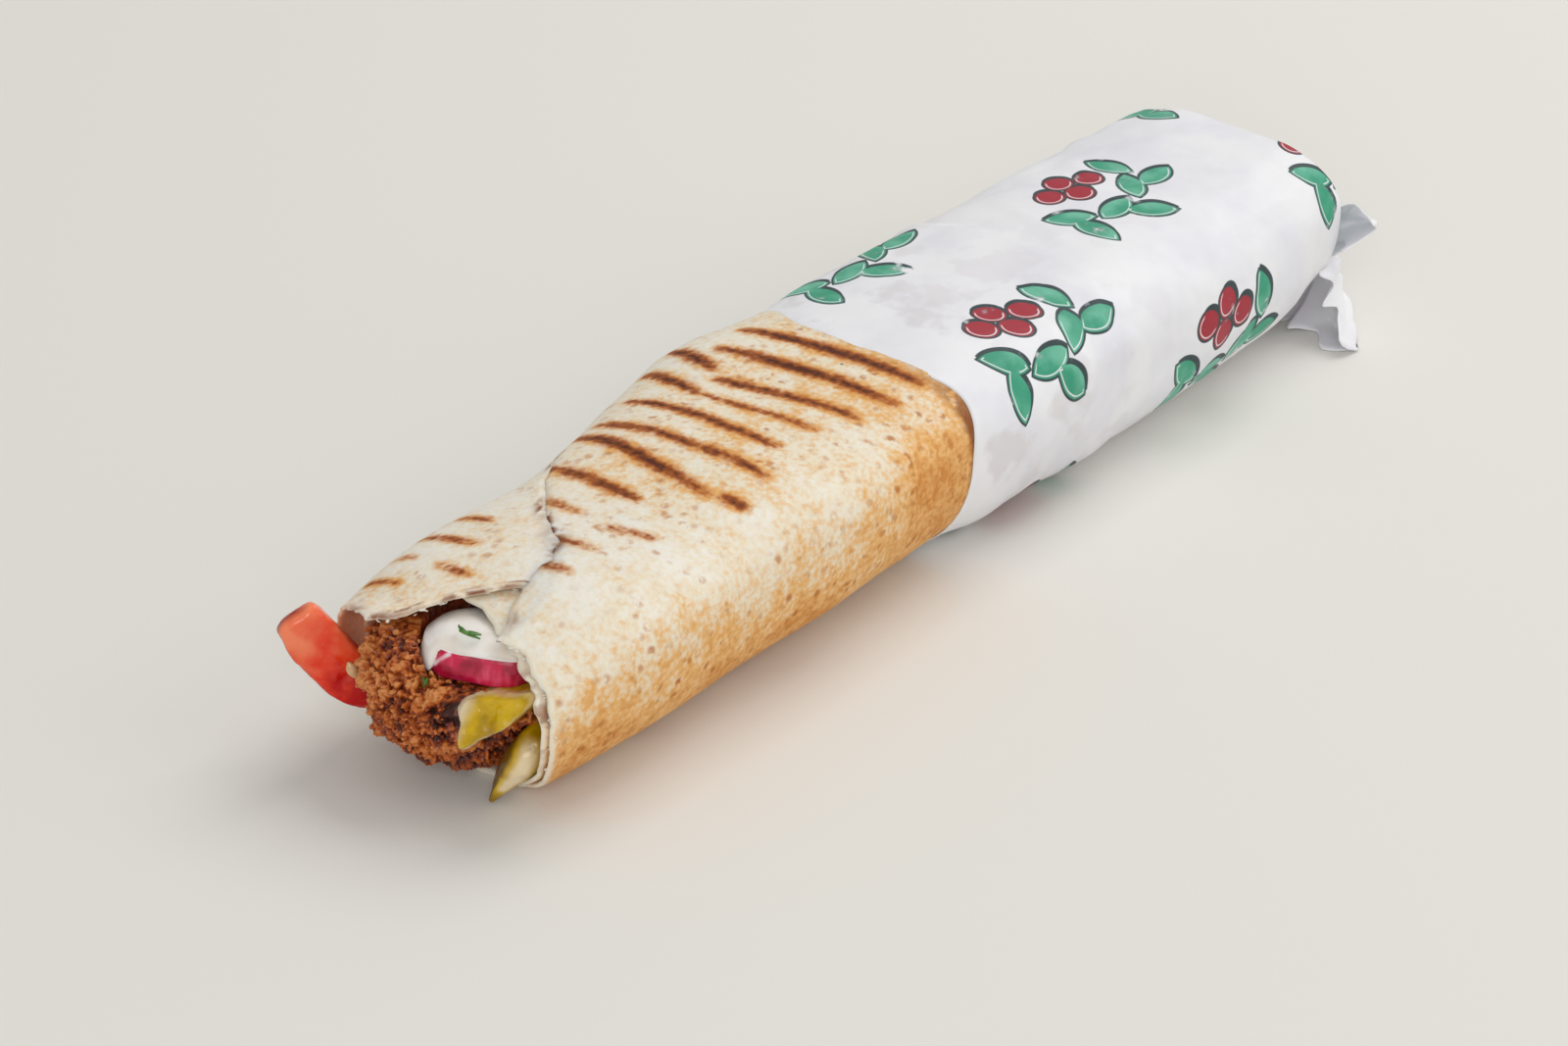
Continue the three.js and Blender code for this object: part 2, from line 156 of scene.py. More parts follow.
def cell_distance(points: np.ndarray, size: float, seed: int = 0) -> np.ndarray:
    """How far each point is from the nearest of many scattered ones, one in each cube of the size.

    Args:
        points: where it is wanted, one point in the last axis.
        size: the side of a cube.
        seed: another number scatters them otherwise.

    Returns:
        The distance over the size, mostly from 0 to 0.9.
    """
    places = points / size
    base = np.floor(places)
    best = np.full(points.shape[:-1], 9.0)
    for step in product((-1, 0, 1), repeat=3):
        cell = base + step
        spot = cell + np.stack([draw(cell, seed + 11 * axis + 3) for axis in range(3)], -1)
        best = np.minimum(best, ((places - spot) ** 2).sum(-1))
    return np.sqrt(best)


def curve_through(knots: Sequence[Sequence[float]], share: np.ndarray) -> np.ndarray:
    """Points of a centripetal curve through knots.

    Args:
        knots: the points that it goes through.
        share: how far along each wanted point is, from 0 to 1, with the knots evenly spaced.

    Returns:
        The points of the curve.
    """
    p = np.asarray(knots, float)
    p = np.vstack([2 * p[0] - p[1], p, 2 * p[-1] - p[-2]])
    gap = np.linalg.norm(np.diff(p, axis=0), axis=1) ** 0.5
    place = np.clip(share, 0, 1) * (len(knots) - 1)
    i = np.minimum(place.astype(int), len(knots) - 2)
    t = (place - i)[:, None]
    a, b, c = gap[i][:, None], gap[i + 1][:, None], gap[i + 2][:, None]
    p0, p1, p2, p3 = p[i], p[i + 1], p[i + 2], p[i + 3]
    start = b * ((p1 - p0) / a - (p2 - p0) / (a + b) + (p2 - p1) / b)
    end = b * ((p2 - p1) / b - (p3 - p1) / (b + c) + (p3 - p2) / c)
    return p1 + start * t + (3 * (p2 - p1) - 2 * start - end) * t**2 + (2 * (p1 - p2) + start + end) * t**3


# ---- Shapes ----


@dataclass
class Shape:
    """Points with the faces between them, and a value at each point for every named field."""

    points: np.ndarray
    faces: list[list[int]]
    fields: dict[str, np.ndarray] = field(default_factory=dict)


def joined(shapes: Sequence[Shape]) -> Shape:
    """Several shapes as one.

    Args:
        shapes: the shapes, in order.

    Returns:
        One shape, with the fields that all of them have.
    """
    faces: list[list[int]] = []
    start = 0
    for shape in shapes:
        faces += [[start + i for i in face] for face in shape.faces]
        start += len(shape.points)
    names = set.intersection(*(set(shape.fields) for shape in shapes))
    fields = {name: np.concatenate([shape.fields[name] for shape in shapes]) for name in sorted(names)}
    return Shape(np.concatenate([shape.points for shape in shapes]), faces, fields)


def grid_faces(rows: int, columns: int, closed: bool) -> np.ndarray:
    """The four-sided faces of a grid.

    Args:
        rows: how many rows of points there are.
        columns: how many points are in a row.
        closed: whether the last column joins the first.

    Returns:
        Four point numbers for each face.
    """
    row = np.arange(rows - 1)[:, None] * columns
    column = np.arange(columns if closed else columns - 1)[None, :]
    after = (column + 1) % columns
    corners = (row + column, row + columns + column, row + columns + after, row + after)
    return np.stack(corners, -1).reshape(-1, 4)


def grid_normals(grid: np.ndarray, closed: bool) -> np.ndarray:
    """The direction across the surface at each point of a grid.

    Args:
        grid: the points, by row and column.
        closed: whether the last column joins the first.

    Returns:
        A vector of length 1 for each point.
    """
    down = np.gradient(grid, axis=0)
    if closed:
        across = np.roll(grid, -1, 1) - np.roll(grid, 1, 1)
    else:
        across = np.gradient(grid, axis=1)
    normal = np.cross(across, down)
    return normal / (np.linalg.norm(normal, axis=-1, keepdims=True) + 1e-12)


def shell(outer: np.ndarray, inner: np.ndarray, closed: bool) -> Shape:
    """A thin solid between two grids of points.

    Args:
        outer: the points of one face, by row and column.
        inner: the points of the other.
        closed: whether the last column joins the first.

    Returns:
        The closed solid, with the outer points first.
    """
    rows, columns = outer.shape[:2]
    size = rows * columns
    sheet = grid_faces(rows, columns, closed)
    edge = np.arange(columns if closed else columns - 1)
    after = (edge + 1) % columns
    first = np.stack([edge, after, after + size, edge + size], -1)
    faces = [sheet, sheet[:, ::-1] + size, first, first[:, ::-1] + (rows - 1) * columns]
    if not closed:
        side = np.arange(rows - 1) * columns
        below = side + columns
        faces.append(np.stack([below, side, side + size, below + size], -1))
        faces.append(np.stack([side, below, below + size, side + size], -1) + columns - 1)
    points = np.concatenate([outer.reshape(-1, 3), inner.reshape(-1, 3)])
    return Shape(points, np.concatenate(faces).tolist())


def loft(rings: np.ndarray) -> Shape:
    """A solid through closed rings of points.

    Args:
        rings: the points, by ring and place in the ring.

    Returns:
        The solid, with its two ends closed to their middles, which are its last two points.
    """
    count, size = rings.shape[:2]
    points = np.concatenate([rings.reshape(-1, 3), rings[0].mean(0)[None], rings[-1].mean(0)[None]])
    faces = grid_faces(count, size, True).tolist()
    for i in range(size):
        after = (i + 1) % size
        faces.append([i, after, count * size])
        faces.append([(count - 1) * size + after, (count - 1) * size + i, count * size + 1])
    return Shape(points, faces)


def rings_along(
    path: np.ndarray, side: np.ndarray, sizes: np.ndarray, squareness: float, count: int
) -> np.ndarray:
    """Rings of points round a path.

    Args:
        path: the middle of each ring.
        side: the direction of a ring's first half size, before it is made square to the path.
        sizes: a pair of half sizes for each ring.
        squareness: 2 gives an oval, and more a rounded box.
        count: points in a ring.

    Returns:
        An array of ring, place in the ring and coordinate.
    """
    ahead = np.gradient(path, axis=0)
    ahead /= np.linalg.norm(ahead, axis=1, keepdims=True)
    wide = side - ahead * (ahead @ side)[:, None]
    wide /= np.linalg.norm(wide, axis=1, keepdims=True)
    thick = np.cross(ahead, wide)
    turn = 2 * np.pi * np.arange(count) / count
    u = sizes[:, :1] * signed_power(np.cos(turn), 2 / squareness)
    v = sizes[:, 1:] * signed_power(np.sin(turn), 2 / squareness)
    return path[:, None] + u[..., None] * wide[:, None] + v[..., None] * thick[:, None]


def roughened(shape: Shape, sizes: Sequence[tuple[float, float]], seed: int) -> Shape:
    """Moves each point a little by noise in every direction.

    Args:
        shape: what is made uneven.
        sizes: pairs of how wide the bumps are and how far they reach.
        seed: another number gives other bumps.

    Returns:
        The same shape, moved.
    """
    for width, reach in sizes:
        moves = [noise(shape.points, width, seed + axis) for axis in range(3)]
        shape.points = shape.points + reach * np.stack(moves, -1)
    return shape


def pebble(centre: np.ndarray, size: np.ndarray, seed: int) -> Shape:
    """A small uneven lump with 26 corners.

    Args:
        centre: its middle.
        size: its half sizes before it is turned.
        seed: another number gives another lump, turned otherwise.

    Returns:
        The closed lump.
    """
    corners = np.array([c for c in product((-1, 0, 1), repeat=3) if any(c)], float)
    index = {tuple(c): i for i, c in enumerate(corners.astype(int))}
    faces = []
    for axis, sign in product(range(3), (-1, 1)):
        others = [a for a in range(3) if a != axis]
        for u, v in product((-1, 0), repeat=2):
            square = []
            for du, dv in ((0, 0), (1, 0), (1, 1), (0, 1)):
                corner = [0, 0, 0]
                corner[axis], corner[others[0]], corner[others[1]] = sign, u + du, v + dv
                square.append(index[tuple(corner)])
            turned = (sign > 0) == (axis == 1)
            faces.append(square[::-1] if turned else square)
    unit = corners / np.linalg.norm(corners, axis=1, keepdims=True)
    knobs = 1 + 0.35 * (2 * draw(corners + seed * 7.0, seed) - 1)
    spin = 2 * np.pi * draw(np.array([[seed, 3.0, 5.0], [seed, 8.0, 2.0]]))
    (c1, c2), (s1, s2) = np.cos(spin), np.sin(spin)
    about_z = np.array([[c1, -s1, 0], [s1, c1, 0], [0, 0, 1]])
    about_x = np.array([[1, 0, 0], [0, c2, -s2], [0, s2, c2]])
    return Shape(centre + (unit * knobs[:, None] * size) @ (about_z @ about_x).T, faces)


# ---- Materials ----


def linear(hex_colour: str) -> tuple[float, float, float, float]:
    """An sRGB hex value as linear light.

    Args:
        hex_colour: the value, such as "#e8d9c0".

    Returns:
        Red, green, blue, and an opacity of 1.
    """
    parts = [int(hex_colour[i : i + 2], 16) / 255 for i in (1, 3, 5)]
    light = [c / 12.92 if c <= 0.04045 else ((c + 0.055) / 1.055) ** 2.4 for c in parts]
    return (light[0], light[1], light[2], 1.0)


def add(
    tree: bpy.types.NodeTree, kind: str, inputs: dict[Any, Any] | None = None, **settings: Any
) -> bpy.types.Node:
    """Adds a node with its settings and links.

    Args:
        tree: the material's nodes.
        kind: the node's type, without its ShaderNode in front.
        inputs: what each input, by name or number, holds: a number, a vector, a hex colour, a socket, or a
            node, which stands for its first output.
        settings: the node's own settings. "stops" gives a colour ramp its places and hex colours.

    Returns:
        The new node.
    """
    node = tree.nodes.new("ShaderNode" + kind)
    stops = settings.pop("stops", None)
    for name, value in settings.items():
        setattr(node, name, value)
    if stops:
        elements = node.color_ramp.elements
        while len(elements) < len(stops):
            elements.new(1.0)
        for element, (place, colour) in zip(elements, stops):
            element.position = place
            element.color = linear(colour)
    for name, value in (inputs or {}).items():
        if isinstance(value, bpy.types.Node):
            value = value.outputs[0]
        if isinstance(value, bpy.types.NodeSocket):
            tree.links.new(value, node.inputs[name])
        else:
            node.inputs[name].default_value = linear(value) if isinstance(value, str) else value
    return node


def per_metre(millimetres: float) -> float:
    """The scale that makes a pattern's features this wide."""
    return 1000 / millimetres


def coats(tree: bpy.types.NodeTree, base: Any, layers: Sequence[tuple[Any, Any, Any]]) -> bpy.types.Node:
    """Coats of colour one over another.

    Args:
        tree: the material's nodes.
        base: the colour underneath.
        layers: for each coat, where it lies and how strong it is, both from 0 to 1, and its colour.

    Returns:
        The node that gives the colour on top.
    """
    for where, strength, colour in layers:
        share = add(tree, "Math", {0: where, 1: strength}, operation="MULTIPLY", use_clamp=True)
        base = add(tree, "MixRGB", {0: share, 1: base, 2: colour})
    return base


@dataclass(frozen=True)
class Blotches:
    """A pattern of soft-edged blotches of about one width."""

    width_mm: float
    low: float  # the noise under which there are none
    high: float  # the noise over which they are full
    detail: float = 3.0  # how ragged the edges are
    stretch: tuple[float, float, float] = (1.0, 1.0, 1.0)  # how many times denser it is along each axis

    def on(self, tree: bpy.types.NodeTree) -> bpy.types.Node:
        """Adds the pattern's nodes.

        Args:
            tree: the material's nodes.

        Returns:
            The node that gives a value from 0 to 1.
        """
        place = add(tree, "TexCoord").outputs["Object"]
        if self.stretch != (1.0, 1.0, 1.0):
            place = add(tree, "VectorMath", {0: place, 1: self.stretch}, operation="MULTIPLY")
        grain = {"Vector": place, "Scale": per_metre(self.width_mm), "Detail": self.detail}
        limits = {"Value": add(tree, "TexNoise", grain), "From Min": self.low, "From Max": self.high}
        return add(tree, "MapRange", limits, interpolation_type="SMOOTHSTEP")


@dataclass(frozen=True)
class Relief:
    """A fine uneven relief over a whole surface."""

    width_mm: float
    height_mm: float
    strength: float
    detail: float
    grit: float = 0.5  # how strong the finer bumps are against the wider ones

    def on(self, tree: bpy.types.NodeTree) -> bpy.types.Node:
        """Adds the relief's nodes.

        Args:
            tree: the material's nodes.

        Returns:
            The node that gives the normal.
        """
        grain = {
            "Vector": add(tree, "TexCoord").outputs["Object"],
            "Scale": per_metre(self.width_mm),
            "Detail": self.detail,
            "Roughness": self.grit,
        }
        height = add(tree, "TexNoise", grain)
        return add(
            tree, "Bump", {"Strength": self.strength, "Distance": self.height_mm * METRES, "Height": height}
        )


class Finish:
    """A material. Those that change from place to place list the mesh's fields that they read as painted."""

    name = "finish"

    def build(self) -> bpy.types.Material:
        """Makes the material with its nodes.

        Returns:
            The new material.
        """
        material = bpy.data.materials.new(self.name)
        material.use_nodes = True
        tree = material.node_tree
        tree.nodes.clear()
        add(tree, "OutputMaterial", {"Surface": self.shader(tree)})
        return material

    def shader(self, tree: bpy.types.NodeTree) -> bpy.types.Node:
        """Adds the finish's nodes, up to the shader that it returns."""
        raise NotImplementedError


@dataclass(frozen=True)
class BakedBread(Finish):
    """Wheat flatbread, baked and pressed on a ridged grill: matt, cream to golden, with dark bars."""

    name: str = "grilled_flatbread"
    painted: Sequence[str] = ("golden", "grill", "crumb", "browned", "juice")
    cream: str = "#f0e8db"
    pale: str = "#ecdcc2"
    gold: str = "#e8b472"
    toast: str = "#cf883c"
    freckle: str = "#b8702c"
    speck: str = "#3a2415"
    char_edge: str = "#a85412"
    char: str = "#4e1c00"
    scorch: str = "#7e4019"
    crumb: str = "#f4e9d4"
    juice: str = "#ffb486"
    baked: Blotches = Blotches(15, 0.3, 0.7, 5, (1.0, 0.7, 0.7))
    mottled: Blotches = Blotches(4.5, 0.35, 0.68, 5)
    floury: Blotches = Blotches(1.3, 0.32, 0.68, 4)
    blister_mm: float = 3.1  # how far apart the freckles are
    blistered: Blotches = Blotches(2.4, 0.44, 0.58, 4)
    freckled: Blotches = Blotches(12, 0.42, 0.66)
    speck_mm: float = 8.0  # how wide a cell is that may hold one burnt speck
    speck_share: float = 0.14
    ragged: Blotches = Blotches(1.5, 0.25, 0.75, 5)
    uneven: Blotches = Blotches(6, 0.25, 0.75, 2)
    scorched: Blotches = Blotches(3.2, 0.34, 0.56, 5)
    relief: Relief = Relief(2.6, 0.7, 0.6, 6.0, 0.65)

    def shader(self, tree: bpy.types.NodeTree) -> bpy.types.Node:
        """Cream dough, golden patches, freckles, burnt specks, grill bars and pale crumb at the torn edge.

        Args:
            tree: the material's nodes.

        Returns:
            The shader.
        """
        painted = (add(tree, "Attribute", attribute_name=name).outputs["Fac"] for name in self.painted)
        baked, grill, crumb, browned, juice = painted
        golden = add(tree, "Math", {0: baked, 1: 0.8}, operation="MULTIPLY")
        # The tone is at half scale, so that its sum stays clear of 1.
        tone = add(tree, "Math", {0: golden, 1: 0.5, 2: -0.135}, operation="MULTIPLY_ADD")
        for patches, part in ((self.baked, 0.12), (self.mottled, 0.09), (self.floury, 0.12)):
            tone = add(tree, "Math", {0: patches.on(tree), 1: part, 2: tone}, operation="MULTIPLY_ADD")
        stops = [(0.0, self.cream), (0.13, self.pale), (0.28, self.gold), (0.45, self.toast)]
        dough = add(tree, "ValToRGB", {0: tone}, stops=stops)
        # Freckles a millimetre or so wide, where the dough blistered, most of them where it is golden.
        place = add(tree, "TexCoord").outputs["Object"]
        blisters = add(tree, "TexVoronoi", {"Vector": place, "Scale": per_metre(self.blister_mm)})
        round_ones = add(tree, "MapRange", {"Value": blisters, "From Min": 0.46, "From Max": 0.2})
        freckles = add(tree, "Math", {0: round_ones, 1: self.blistered.on(tree)}, operation="MULTIPLY")
        often = {0: self.freckled.on(tree), 1: 0.5, 2: golden}
        density = add(tree, "Math", often, operation="MULTIPLY_ADD", use_clamp=True)
        # Burnt specks up to a millimetre wide.
        cells = add(tree, "TexVoronoi", {"Vector": place, "Scale": per_metre(self.speck_mm)})
        chosen = add(tree, "SeparateColor", {0: cells.outputs["Color"]})
        rare = add(tree, "Math", {0: chosen, 1: 1 - self.speck_share}, operation="GREATER_THAN")
        near = add(tree, "MapRange", {"Value": cells, "From Min": 0.07, "From Max": 0.03})
        layers = [(freckles, density, self.freckle), (rare, near, self.speck)]
        # Grill bars: ragged edges, a golden halo, a brown rim and a scorched middle.
        heat = grill
        for patches, part in ((self.ragged, -0.2), (self.uneven, -0.16)):
            heat = add(tree, "Math", {0: patches.on(tree), 1: part, 2: heat}, operation="MULTIPLY_ADD")
        halo, rim, middle = (0.0, 0.34, 0.5), (0.26, 0.48, 0.92), (0.44, 0.72, 0.95)
        for (start, end, strength), tint in zip((halo, rim, middle), (self.toast, self.char_edge, self.char)):
            burnt = add(tree, "MapRange", {"Value": heat, "From Min": start, "From Max": end})
            layers.append((burnt, strength, tint))
        layers.append((crumb, 1.0, self.crumb))
        # Browned lines, darkest along the under turn's rim, where they are partly painted shade of the gap
        # beneath.
        layers.append((browned, self.scorched.on(tree), self.scorch))
        # A warm, light tint on the inner wall by the cut end is painted light, as of light shining through
        # the thin bread.
        layers.append((juice, 0.9, self.juice))
        return add(tree, "BsdfPrincipled", {
            "Base Color": coats(tree, dough, layers),
            "Roughness": 0.68,
            "Specular IOR Level": 0.3,
            "Subsurface Weight": 0.35,
            "Subsurface Radius": (1.0, 0.72, 0.45),
            "Subsurface Scale": 0.003,
            "Normal": self.relief.on(tree),
        })


@dataclass(frozen=True)
class GreaseproofPaper(Finish):
    """Thin calendered greaseproof paper: cool white, a faint sheen, grey patches of painted shade as of
    folds, and a two-colour print whose green has a painted sheen.
    """

    name: str = "greaseproof_paper"
    white: str = "#f1f1f5"
    shade: str = "#dddce6"
    oiled: str = "#d6d0d2"
    green: str = "#3c9c7c"
    light_green: str = "#74bfa4"
    red: str = "#a8323f"
    ink: str = "#22393c"
    tile_mm: tuple[float, float] = (64.0, 56.0)
    outline_mm: float = 0.6
    shadow_mm: tuple[float, float] = (-0.9, 0.9)
    shadow_grown_mm: float = 0.3
    soft_mm: float = 0.1  # half the width of a drawn edge
    line_mm: tuple[float, float] = (0.45, 0.75)  # how far inside an edge its pale line starts and ends
    leaf_count: int = 7
    arch_mm: tuple[float, float] = (30.0, 11.0)  # the middle of the arch of leaves
    arch_size_mm: tuple[float, float] = (18.5, 17.0)
    arch_from: float = 160.0  # in degrees, as are the next two
    arch_step: float = 23.0
    leaf_leans: tuple[float, float] = (120.0, 48.0)  # how far even and odd leaves turn from the arch
    leaf_mm: float = 12.5
    leaf_plumpness: float = 0.5  # its width over its length
    berry_mm: float = 3.5
    berries_mm: Sequence[tuple[float, float]] = ((23.5, 10.5), (30.8, 7.6), (29.6, 14.8), (37.2, 11.8))
    oil_mm: tuple[float, float] = (95.0, 20.0)  # how far from the bread the oil starts, and is at its most
    folded: Blotches = Blotches(24, 0.38, 0.72)
    oily: Blotches = Blotches(17, 0.5, 0.6, 6)
    inked: Blotches = Blotches(5, 0.2, 0.4)
    washed: Blotches = Blotches(9, 0.35, 0.7)
    relief: Relief = Relief(9, 1.0, 0.3, 4.0)

    def disc(
        self, tree: bpy.types.NodeTree, place: Any, centre: Sequence[float], radius: float
    ) -> bpy.types.Node:
        """How far a place on the tile is outside a disc, and below 0 inside it."""
        away = add(tree, "VectorMath", {0: place, 1: (centre[0], centre[1], 0)}, operation="DISTANCE")
        return add(tree, "Math", {0: away.outputs["Value"], 1: radius}, operation="SUBTRACT")

    def leaf(
        self, tree: bpy.types.NodeTree, place: Any, root: Sequence[float], tip: Sequence[float]
    ) -> bpy.types.Node:
        """How far a place is outside a pointed leaf, which is the overlap of two discs.

        Args:
            tree: the material's nodes.
            place: where on the tile, in millimetres.
            root: where the leaf starts on the tile.
            tip: where it ends.

        Returns:
            The node that gives the distance, below 0 inside.
        """
        a, b = np.array(root, float), np.array(tip, float)
        length = float(np.linalg.norm(b - a))
        width = self.leaf_plumpness * length / 2
        radius = (length**2 / 4 + width**2) / (2 * width)
        aside = np.array([a[1] - b[1], b[0] - a[0]]) / length * (radius - width)
        discs = [self.disc(tree, place, (a + b) / 2 + way * aside, radius) for way in (1, -1)]
        return add(tree, "Math", dict(enumerate(discs)), operation="MAXIMUM")

    def nearest(self, tree: bpy.types.NodeTree, distances: Sequence[bpy.types.Node]) -> bpy.types.Node:
        """The least of several distances.

        Args:
            tree: the material's nodes.
            distances: the nodes that give them.

        Returns:
            The node that gives the least.
        """
        least = distances[0]
        for other in distances[1:]:
            least = add(tree, "Math", {0: least, 1: other}, operation="MINIMUM")
        return least

    def inside(self, tree: bpy.types.NodeTree, distance: bpy.types.Node, grown_mm: float) -> bpy.types.Node:
        """1 inside a drawn shape that is grown by a little, from the distance outside it, and 0 beyond."""
        limits = {"From Min": grown_mm + self.soft_mm, "From Max": grown_mm - self.soft_mm}
        return add(tree, "MapRange", {"Value": distance, **limits})

    def sprig(self, tree: bpy.types.NodeTree, place: Any) -> tuple[bpy.types.Node, bpy.types.Node]:
        """One tile's drawing: an arched row of leaves to either side, and a bunch of berries under the arch.

        Args:
            tree: the material's nodes.
            place: where on the tile, in millimetres.

        Returns:
            How far the place is outside the leaves, and outside the berries.
        """
        leaves = []
        for i in range(self.leaf_count):
            along = math.radians(self.arch_from - self.arch_step * i)
            x = self.arch_mm[0] + self.arch_size_mm[0] * math.cos(along)
            y = self.arch_mm[1] + self.arch_size_mm[1] * math.sin(along)
            lean = along - math.radians(self.leaf_leans[i % 2])
            tip = (x + self.leaf_mm * math.cos(lean), y + self.leaf_mm * math.sin(lean))
            leaves.append(self.leaf(tree, place, (x, y), tip))
        berries = [self.disc(tree, place, spot, self.berry_mm) for spot in self.berries_mm]
        return self.nearest(tree, leaves), self.nearest(tree, berries)

    def tile(self, tree: bpy.types.NodeTree, flat: bpy.types.Node) -> bpy.types.Node:
        """Where a place lies on its tile, with the columns of tiles staggered by half a tile.

        Args:
            tree: the material's nodes.
            flat: the node that gives the place on the unrolled paper, coordinate by coordinate.

        Returns:
            The node that gives the place on the tile, in millimetres.
        """
        across, up = self.tile_mm
        column = add(tree, "Math", {0: flat, 1: across}, operation="DIVIDE")
        whole = add(tree, "Math", {0: column}, operation="FLOOR")
        halves = add(tree, "Math", {0: whole, 1: 2.0}, operation="PINGPONG")
        raised = {0: halves, 1: 0.5 * up, 2: flat.outputs[1]}
        moved = {0: flat, 1: add(tree, "Math", raised, operation="MULTIPLY_ADD"), 2: 0.0}
        limits = {1: (across, up, 1.0), 2: (0.0, 0.0, 0.0)}
        return add(tree, "VectorMath", {0: add(tree, "CombineXYZ", moved), **limits}, operation="WRAP")

    def shader(self, tree: bpy.types.NodeTree) -> bpy.types.Node:
        """Draws sprigs of leaves and berries over white paper with grey patches of painted shade as of folds,
        and a little oil.

        Args:
            tree: the material's nodes.

        Returns:
            The shader.
        """
        unrolled = add(tree, "Attribute", attribute_name="unrolled").outputs["Vector"]
        flat = add(tree, "SeparateXYZ", {0: unrolled})
        place = self.tile(tree, flat)
        leaf, fruit = self.sprig(tree, place)
        moved = add(tree, "VectorMath", {0: place, 1: (*self.shadow_mm, 0.0)})
        shadow = self.nearest(tree, self.sprig(tree, moved))
        start, most = self.oil_mm
        near_bread = add(tree, "MapRange", {"Value": flat, "From Min": start, "From Max": most})
        oiliness = add(tree, "Math", {0: near_bread, 1: 0.6}, operation="MULTIPLY")
        # Grey blotches are painted shade, standing for soft folds and dents; the oil near the bread is a real
        # stain.
        layers = [(self.folded.on(tree), 0.7, self.shade), (self.oily.on(tree), oiliness, self.oiled)]
        worn = add(tree, "Math", {0: self.inked.on(tree), 1: 0.97}, operation="MULTIPLY")
        outline = self.inside(tree, self.nearest(tree, [leaf, fruit]), self.outline_mm)
        shaded = self.inside(tree, shadow, self.shadow_grown_mm)
        layers.append((add(tree, "Math", {0: outline, 1: shaded}, operation="MAXIMUM"), worn, self.ink))
        # Lighter green patches over the print's green are a painted sheen.
        sheen = add(tree, "MixRGB", {0: self.washed.on(tree), 1: self.green, 2: self.light_green})
        # A thin pale line lies just inside each shape's edge, on its upper side.
        upper = add(tree, "Math", {0: shadow, 1: -0.6}, operation="GREATER_THAN")
        bright = add(tree, "Math", {0: upper, 1: 0.85}, operation="MULTIPLY")
        for drawn, fill in ((leaf, sheen), (fruit, self.red)):
            edges = dict(enumerate(self.inside(tree, drawn, -depth) for depth in self.line_mm))
            layers.append((self.inside(tree, drawn, 0.0), worn, fill))
            layers.append((add(tree, "Math", edges, operation="SUBTRACT"), bright, self.white))
        return add(tree, "BsdfPrincipled", {
            "Base Color": coats(tree, self.white, layers),
            "Roughness": 0.5,
            "Specular IOR Level": 0.25,
            "Subsurface Weight": 0.7,
            "Subsurface Radius": (1.0, 1.0, 1.0),
            "Subsurface Scale": 0.0006,
            "Normal": self.relief.on(tree),
        })


@dataclass(frozen=True)
class FriedCrust(Finish):
    """Deep-fried chickpea crumb: rough and oily, dark brown in its pits and orange-brown on its knobs, partly
    as painted shade and painted highlight.
    """

    name: str = "fried_chickpea_crust"
    painted: Sequence[str] = ("height", "shaded")
    pit: str = "#3a0a00"
    brown: str = "#8a3408"
    orange: str = "#c8661a"
    knob: str = "#f0a862"
    speckled: Blotches = Blotches(1.1, 0.3, 0.7, 4)
    patchy: Blotches = Blotches(9, 0.36, 0.62)
    relief: Relief = Relief(0.8, 0.6, 0.9, 4.0, 0.7)

    def shader(self, tree: bpy.types.NodeTree) -> bpy.types.Node:
        """Colour by height, with dark pits as painted shade and pale knobs as painted highlight, broken up by
        crumb-sized blotches, darker on the low side as painted shade, and with an oily gloss.

        Args:
            tree: the material's nodes.

        Returns:
            The shader.
        """
        height, shaded = (add(tree, "Attribute", attribute_name=name).outputs["Fac"] for name in self.painted)
        tone = add(tree, "Math", {0: height, 1: 0.78}, operation="MULTIPLY")
        for patches, part in ((self.speckled, 0.18), (self.patchy, 0.3)):
            sum_of = {0: patches.on(tree), 1: part, 2: tone}
            tone = add(tree, "Math", sum_of, operation="MULTIPLY_ADD", use_clamp=True)
        # Painted shade darkens the low side, on top of a small even lowering of the tone.
        darker = add(tree, "Math", {0: shaded, 1: 0.18, 2: 0.15}, operation="MULTIPLY_ADD")
        tone = add(tree, "Math", {0: tone, 1: darker}, operation="SUBTRACT")
        # Dark pits stand partly for painted shade, and pale knobs partly for painted highlight.
        stops = [(0.16, self.pit), (0.42, self.brown), (0.68, self.orange), (0.96, self.knob)]
        return add(tree, "BsdfPrincipled", {
            "Base Color": add(tree, "ValToRGB", {0: tone}, stops=stops),
            "Roughness": 0.45,
            "Specular IOR Level": 0.35,
            "Coat Weight": 0.4,
            "Coat Roughness": 0.14,
            "Subsurface Weight": 0.06,
            "Subsurface Radius": (1.0, 0.5, 0.25),
            "Subsurface Scale": 0.0008,
            "Normal": self.relief.on(tree),
        })


